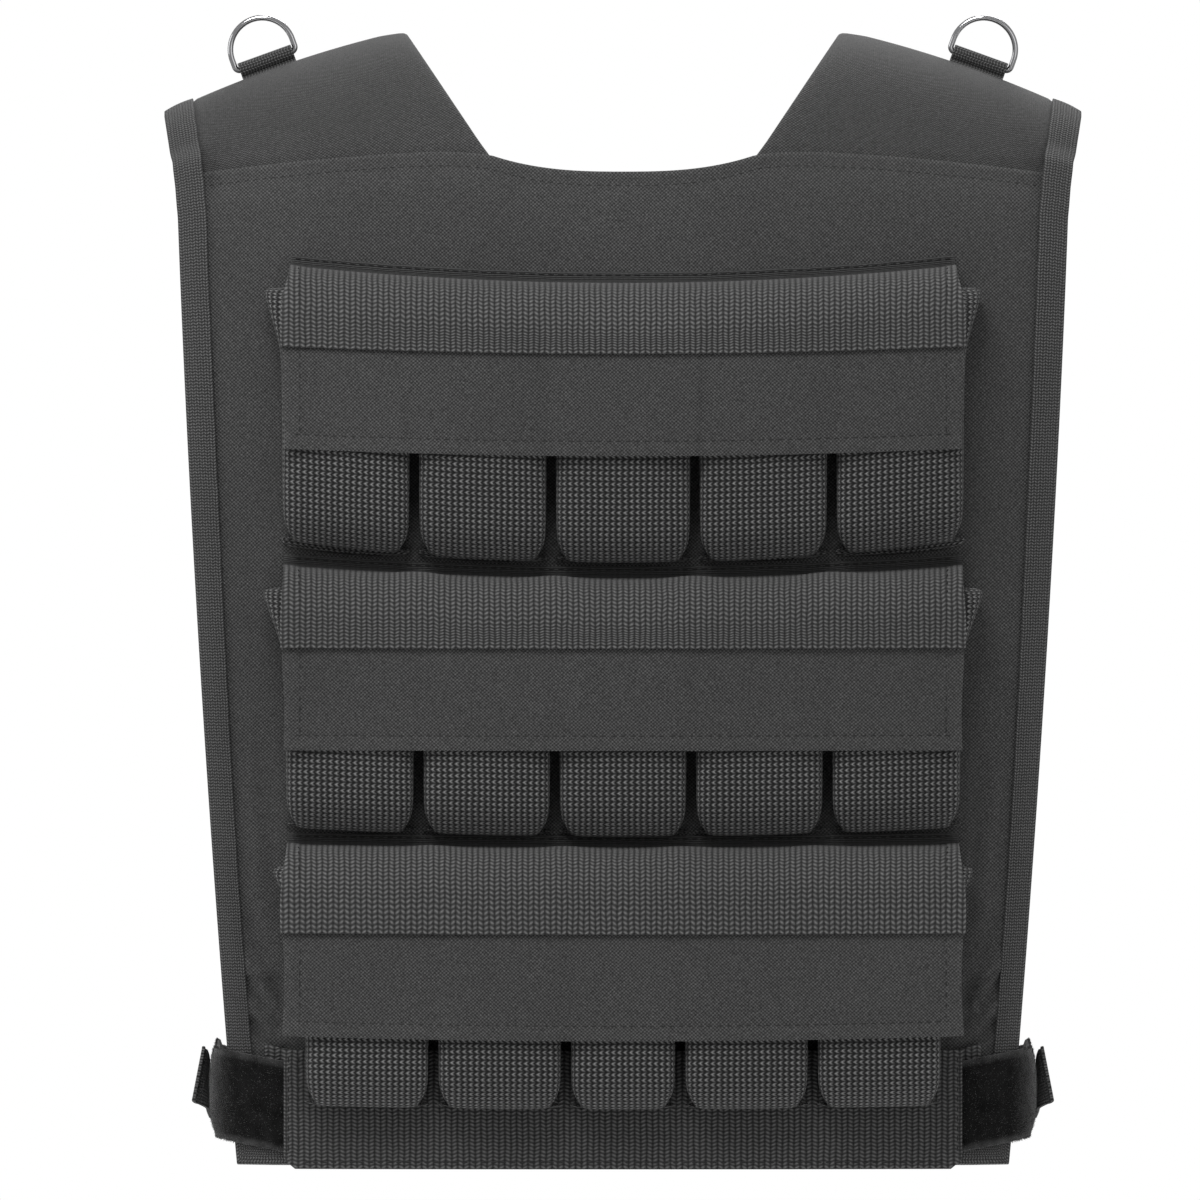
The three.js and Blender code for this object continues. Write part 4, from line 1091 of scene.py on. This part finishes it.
class VEST_OT_bands(bpy.types.Operator):
    """Lay the hem bands and the strips under the belts' ends."""

    bl_idname = "vest.bands"
    bl_label = "Hem bands"

    def execute(self, context):
        webbing = material_named("ribbed_band_webbing")
        thread = material_named("bonded_sewing_thread")
        under_half = edge_half(-BAND_TOP) - BINDING_WIDTH - UNDER_BAND_INSET + BINDING_EASE
        for face, facing in FACES.items():
            for name, node, half, top, bottom, corner, outer, thick in (
                ("under_band", "base_band", under_half, BAND_TOP, BAND_TOP + UNDER_BAND_HEIGHT, 0,
                 UNDER_BAND_OUTER, CLOTH_THICK),
                ("hem_band", "band", BAND_HALF, BAND_TOP, BAND_BOTTOM, BAND_CORNER, BAND_OUTER, WEBBING_THICK),
            ):
                piece, u, v = grid(f"{face}_{name}", 120, 20)
                x = (2 * u - 1) * half
                low = -bottom + np.maximum(0, np.abs(x) - (half - corner))
                high = -top + 4.6 * smooth((np.abs(x) - BAND_HALF + 6) / 24) * (corner == 0)
                z = mix(low, high, v)
                relief = 0.45 * smooth((np.abs(x) - (half - 8)) / 1.2) * (corner > 0)
                relief = relief + 0.6 * bump(high - z - 0.8, 0.9) * (corner == 0)
                relief = relief + 0.15 * np.sin(x / 23) * (1 - v)
                lay(piece, seen_at(x, z, outer + relief), facing, x, z)
                thicken(piece, thick, 0.4)
                sew_on(piece, webbing, [f"{face}_{node}"])
            rows = []
            for inset in (2.2, 6.6):
                for side in (-1, 1):
                    z = np.linspace(-BAND_TOP - 2, -BAND_BOTTOM + 7, 40)
                    x = np.full_like(z, side * (BAND_HALF - inset))
                    rows.append(body_path(x, z, BAND_OUTER + 0.5, facing))
            x = np.linspace(-1, 1, 200) * (BAND_HALF - 8)
            rows.append(body_path(x, np.full_like(x, -BAND_BOTTOM + 3.0), BAND_OUTER + 0.1, facing))
            stitches(f"{face}_band_stitching", rows, thread)
        return {"FINISHED"}


def belt_path(up, thick):
    """The left belt's line at a height on it, from behind the front band round to behind the back band."""
    side_half = edge_half(-BELT_DROP_AT_SIDE) + BELT_STAND_OFF - BELT_PINCH * (2 * abs(up) / BELT_WIDTH) ** 3
    leave = edge_half(-BELT_DROP_AT_SIDE)
    share = np.linspace(0, 1, 26)
    x = mix(BAND_HALF - BELT_TUCK, leave, share)
    z = up - mix(BELT_DROP_AT_BAND, BELT_DROP_AT_SIDE, share)
    foot_x, foot_z = foot_of(x, z, BELT_INNER)
    front = on_body(foot_x, foot_z, BELT_INNER + thick + 0 * foot_x)
    start = on_body(foot_x[-1:], foot_z[-1:], np.array([BELT_INNER]))[0]
    normal = body_normal(foot_x[-1:], foot_z[-1:])[0]
    first = math.atan2(-normal[1], normal[0])
    radius = min(BELT_TURN, (side_half - start[0]) / (1 - math.cos(first)))
    centre_x, centre_y = side_half - radius, start[1] + radius * math.sin(first)
    turn = np.linspace(0, 1, 15)[1:]
    angle = first * (1 - turn)
    reach = radius + thick
    drop = (mix(BELT_DROP_AT_SIDE, BELT_DROP_BETWEEN, turn) - BELT_DROP_AT_SIDE) * -0.5
    arc = np.stack([centre_x + reach * np.cos(angle), centre_y - reach * np.sin(angle), start[2] + drop], -1)
    end = np.array([side_half + thick, 0, up - BELT_DROP_BETWEEN])
    straight = mix(arc[-1:], end[None], np.linspace(0, 1, 22)[1:, None])
    half = np.concatenate([front, arc, straight])
    return np.concatenate([half, half[-2::-1] * np.array([1, -1, 1])])


class VEST_OT_belts(bpy.types.Operator):
    """Lead the pile belts round the sides and sew on their pull tabs."""

    bl_idname = "vest.belts"
    bl_label = "Belts"

    def execute(self, context):
        pile = material_named("brushed_loop_pile")
        webbing = material_named("narrow_binding_webbing")
        rows = 18
        lines = np.array([belt_path(up, BELT_THICK) for up in np.linspace(-BELT_WIDTH / 2, BELT_WIDTH / 2, rows + 1)])
        run = run_along(lines[rows // 2])
        nap = bpy.data.textures.new("nap", "CLOUDS")
        nap.noise_scale, nap.noise_depth = 0.003, 2
        for side, sign in SIDES.items():
            count = lines.shape[1]
            piece, u, v = grid(f"pile_belt_{side}", count - 1, rows)
            i = nearest(u, count - 1)
            j = nearest(v, rows)
            lay_side(piece, lines[j, i], sign, run[i], v * BELT_WIDTH)
            thicken(piece, BELT_THICK, 0.8, 3)
            modify(piece, "SUBSURF", levels=1, render_levels=1)
            modify(piece, "DISPLACE", texture=nap, strength=context.scene.vest_sizes.pile_length,
                   mid_level=0.5, texture_coords="LOCAL")
            sew_on(piece, pile, [f"belt_{side}"])
            self.nap(side, sign, lines, pile)

            side_half = edge_half(-BELT_DROP_AT_SIDE) + BELT_STAND_OFF
            piece, u, v = grid(f"pull_tab_{side}", 36, 20)
            lift = TAB_FLICK * smooth((u - 0.5) / 0.5) * mix(1, 0.15, v) + 0.7 * smooth((u - 0.8) / 0.05)
            up = (v - 0.5) * TAB_WIDTH
            forward = TAB_REACH - TAB_LENGTH * (1 - u)
            y = up * math.sin(TAB_TILT) - forward * math.cos(TAB_TILT)
            z = up * math.cos(TAB_TILT) + (u - 1) * TAB_LENGTH * math.sin(TAB_TILT) - TAB_DROP
            pinch = BELT_PINCH * np.minimum(1, 2 * np.abs(z + BELT_DROP_BETWEEN) / BELT_WIDTH) ** 3
            pinch *= 1 - smooth(u * 1.6)
            out = side_half + BELT_THICK + GAP + WEBBING_THICK + lift - pinch
            lay_side(piece, np.stack([out, y, z], -1), sign, up, u * TAB_LENGTH, -1)
            thicken(piece, WEBBING_THICK, 0.4)
            sew_on(piece, webbing, [f"belt_tab_{side}"])
        return {"FINISHED"}

    @staticmethod
    def nap(side, sign, lines, pile):
        """Short bent loops of pile, standing thickest along the belt's edges."""
        draw = np.random.default_rng(17)
        rows, count = lines.shape[:2]
        along = np.gradient(lines, axis=1)
        up = np.gradient(lines, axis=0)
        normal = unit(np.cross(along, up))
        total = PILE_LOOPS
        j = draw.random(total)
        rim = draw.random(total) < 0.22
        j = np.where(rim, np.where(draw.random(total) < 0.5, 0.02 * j, 1 - 0.02 * j), j) * (rows - 1)
        i = draw.random(total) * (count - 1)
        i0, j0 = np.minimum(i.astype(int), count - 2), np.minimum(j.astype(int), rows - 2)
        a, b = (i - i0)[:, None], (j - j0)[:, None]
        root = mix(mix(lines[j0, i0], lines[j0, i0 + 1], a), mix(lines[j0 + 1, i0], lines[j0 + 1, i0 + 1], a), b)
        out = normal[j0, i0]
        edge = np.where(rim, np.sign(j - rows / 2), 0)[:, None] * unit(up[j0, i0])
        lean = unit(out + 0.9 * edge + 0.8 * draw.normal(size=(total, 3)))
        side_way = unit(np.cross(lean, unit(draw.normal(size=(total, 3)))))
        third = np.cross(lean, side_way)
        length = (0.5 + 0.6 * draw.random(total))[:, None]
        wide = 0.14
        corners = [root - out * 0.15 + side_way * wide, root - out * 0.15 - side_way * wide * 0.5 + third * wide,
                   root - out * 0.15 - side_way * wide * 0.5 - third * wide, root + lean * length]
        points = np.stack(corners, 1).reshape(-1, 3) * np.array([sign, 1, 1])
        base = 4 * np.arange(total)[:, None, None]
        faces = (np.array([[0, 1, 3], [1, 2, 3], [2, 0, 3], [0, 2, 1]])[None] + base).reshape(-1, 3)
        # the loops carry no cut map, so the pile's painted edge sheen lights them all in full
        sew_on(add_mesh(f"pile_nap_{side}", points, faces.tolist()), pile)


def ring_frame(sign):
    slope = -2 * CREST_FALL * RING_HALF / SHOULDER_HALF**2
    along = unit(np.array([sign, 0, slope]))
    up = unit(np.array([-sign * slope, 0, 1.0]))
    foot = np.array([sign * RING_HALF, 0, crest_height(RING_HALF)])
    return along, up, foot + up * (GAP + LOOP_RISE)


class VEST_OT_rings(bpy.types.Operator):
    """Bend the D-rings and fold their webbing loops."""

    bl_idname = "vest.rings"
    bl_label = "D-rings"

    def execute(self, context):
        wire = material_named("nickel_plated_wire")
        webbing = material_named("narrow_binding_webbing")
        half = (RING_INSIDE + RING_WIRE) / 2
        line = [(half * math.cos(a), RING_LEG + half * math.sin(a)) for a in np.linspace(0, math.pi, 49)]
        for centre, first in ((-half + RING_CORNER, math.pi), (half - RING_CORNER, 1.5 * math.pi)):
            line += [(centre + RING_CORNER * math.cos(a), RING_CORNER + RING_CORNER * math.sin(a))
                     for a in np.linspace(first, first + math.pi / 2, 9)]
        for side, sign in SIDES.items():
            along, up, pivot = ring_frame(sign)
            deselect()
            curve = bpy.data.curves.new(f"wire_d_ring_{side}", "CURVE")
            curve.dimensions = "3D"
            spline = curve.splines.new("POLY")
            spline.points.add(len(line) - 1)
            for knot, (a, b) in zip(spline.points, line):
                knot.co = (*((pivot + along * a + up * b) * MM), 1)
            spline.use_cyclic_u = True
            curve.bevel_depth, curve.bevel_resolution = RING_WIRE / 2 * MM, 6
            piece = bpy.data.objects.new(f"wire_d_ring_{side}", curve)
            context.scene.collection.objects.link(piece)
            only(piece)
            bpy.ops.object.convert(target="MESH")
            piece = bpy.context.active_object
            face_out(piece)
            sew_on(piece, wire, [f"d_ring_{side}"], body=f"d_ring_{side}")

            outer = RING_WIRE / 2 + RING_EASE + LOOP_THICK
            join = math.asin(LOOP_THICK / outer)
            path = [(LOOP_THICK + 1.6, -LOOP_RISE + 0.1), (LOOP_THICK + 0.5, -LOOP_RISE + 1.0)]
            path += [(outer * math.cos(a), outer * math.sin(a))
                     for a in np.linspace(-math.pi / 2 + join, 1.5 * math.pi - join, 25)]
            path += [(-LOOP_THICK - 0.5, -LOOP_RISE + 1.0), (-LOOP_THICK - 1.6, -LOOP_RISE + 0.1)]
            path = np.array(path)
            run = run_along(path)
            piece, u, v = grid(f"ring_webbing_{side}", 24, len(path) - 1)
            j = nearest(v, len(path) - 1)
            across = (u - 0.5) * LOOP_WIDTH
            depth = np.cross(up, along)
            points = pivot + np.outer(across, along) + np.outer(path[j, 0], depth) + np.outer(path[j, 1], up)
            put_points(piece, points)
            mark_cut(piece, run[j], across)
            face_away = np.cross(along, np.gradient(path, axis=0)[len(path) // 2, 0] * depth)
            if face_away @ up < 0:
                piece.data.flip_normals()
            thicken(piece, LOOP_THICK * 0.95, 0.35)
            sew_on(piece, webbing, [f"d_ring_loop_{side}"])
        return {"FINISHED"}


# The stage, in metres: the camera's place across and up, the plane that its frame's width is measured in, and each
# light's place, size and watts.
ROOM_LIGHT, FLOOR_RADIUS, FLOOR_LEVEL = 0.25, 2.2, -1.05
LENS, SENSOR, FRAME_WIDTH = 1500, 36, 0.528
CAMERA_ACROSS, FRAME_PLANE, CAMERA_UP = -0.01012, -0.112, -0.2332
LIGHTS = {"key_light": ((-0.45, -1.6, 1.7), 1.1, 31), "fill_light": ((1.7, -2.6, 0.4), 1.8, 7),
          "back_light": ((0.5, 2.3, 2.0), 1.6, 40), "side_light": ((-2.4, -0.4, 0.4), 1.4, 7)}


class VEST_OT_stage(bpy.types.Operator):
    """Set the pale floor, the soft lights and the camera."""

    bl_idname = "vest.stage"
    bl_label = "Stage"

    def execute(self, context):
        scene = context.scene
        scene.view_settings.view_transform = "Standard"
        world = bpy.data.worlds.new("pale_studio")
        scene.world = world
        world.use_nodes = True
        tree = world.node_tree
        tree.nodes.clear()
        seen = add_node(tree, "ShaderNodeLightPath").outputs["Is Camera Ray"]
        strength = add_node(tree, "ShaderNodeMapRange", {0: seen, 3: ROOM_LIGHT, 4: 1.0})
        background = add_node(tree, "ShaderNodeBackground", {"Color": linear("ffffff"), "Strength": strength})
        add_node(tree, "ShaderNodeOutputWorld", {0: background})
        deselect()
        bpy.ops.mesh.primitive_circle_add(vertices=96, radius=FLOOR_RADIUS, fill_type="NGON",
                                          location=(0, 0, FLOOR_LEVEL))
        floor = context.active_object
        floor.name = floor.data.name = "studio_floor"
        bpy.ops.object.transform_apply(location=True)
        paint, tree, place = start_material("matt_studio_paint")
        grain = add_node(tree, "ShaderNodeTexNoise", {"Vector": place, "Scale": 60.0, "Detail": 4.0})
        tone = add_node(tree, "ShaderNodeMapRange", {0: grain, 3: 0.97, 4: 1.0})
        shade = add_node(tree, "ShaderNodeVectorMath", {0: linear("ececec")[:3], "Scale": tone},
                         operation="SCALE")
        floor.data.materials.append(finish_material(paint, {"Base Color": shade, "Roughness": 0.8}))
        for name, (place, size, power) in LIGHTS.items():
            bpy.ops.object.light_add(type="AREA", location=place)
            lamp = context.active_object
            lamp.name = lamp.data.name = name
            lamp.data.size, lamp.data.energy = size, power
            aim = np.array([0, 0, -0.25]) - np.array(place)
            lamp.rotation_euler = Vector(aim).to_track_quat("-Z", "Y").to_euler()
            lamp.visible_camera = False
        camera_data = bpy.data.cameras.new("catalogue_camera")
        camera = bpy.data.objects.new("catalogue_camera", camera_data)
        scene.collection.objects.link(camera)
        camera_data.lens, camera_data.sensor_width = LENS, SENSOR
        camera.location = (CAMERA_ACROSS, FRAME_PLANE - FRAME_WIDTH * LENS / SENSOR, CAMERA_UP)
        camera.rotation_euler = (math.pi / 2, 0, 0)
        camera_data.clip_start, camera_data.clip_end = 0.1, 1000
        scene.camera = camera
        return {"FINISHED"}


class VEST_PT_sidebar(bpy.types.Panel):
    """Lists the vest's pieces, sizes and colours."""

    bl_idname = "VEST_PT_sidebar"
    bl_label = "Weighted vest"
    bl_space_type = "VIEW_3D"
    bl_region_type = "UI"
    bl_category = "Vest"

    def draw(self, context):
        for name in PIECES:
            self.layout.operator(f"vest.{name}")
        for group in (context.scene.vest_sizes, context.scene.vest_colours):
            for name in group.bl_rna.properties.keys():
                if name not in {"rna_type", "name"}:
                    self.layout.prop(group, name)


PIECES = ["stage", "body_cloth", "shoulder_pads", "bindings", "pouches", "flaps", "bands", "belts", "rings"]
CLASSES = [VestSizes, VestColours, VEST_OT_stage, VEST_OT_body_cloth, VEST_OT_shoulder_pads, VEST_OT_bindings,
           VEST_OT_pouches, VEST_OT_flaps, VEST_OT_bands, VEST_OT_belts, VEST_OT_rings, VEST_PT_sidebar]


def register():
    for each in CLASSES:
        bpy.utils.register_class(each)
    bpy.types.Scene.vest_sizes = bpy.props.PointerProperty(type=VestSizes)
    bpy.types.Scene.vest_colours = bpy.props.PointerProperty(type=VestColours)


def unregister():
    del bpy.types.Scene.vest_sizes, bpy.types.Scene.vest_colours
    for each in reversed(CLASSES):
        bpy.utils.unregister_class(each)


def main():
    register()
    for name in PIECES:
        getattr(bpy.ops.vest, name)()


if __name__ == "__main__":
    main()
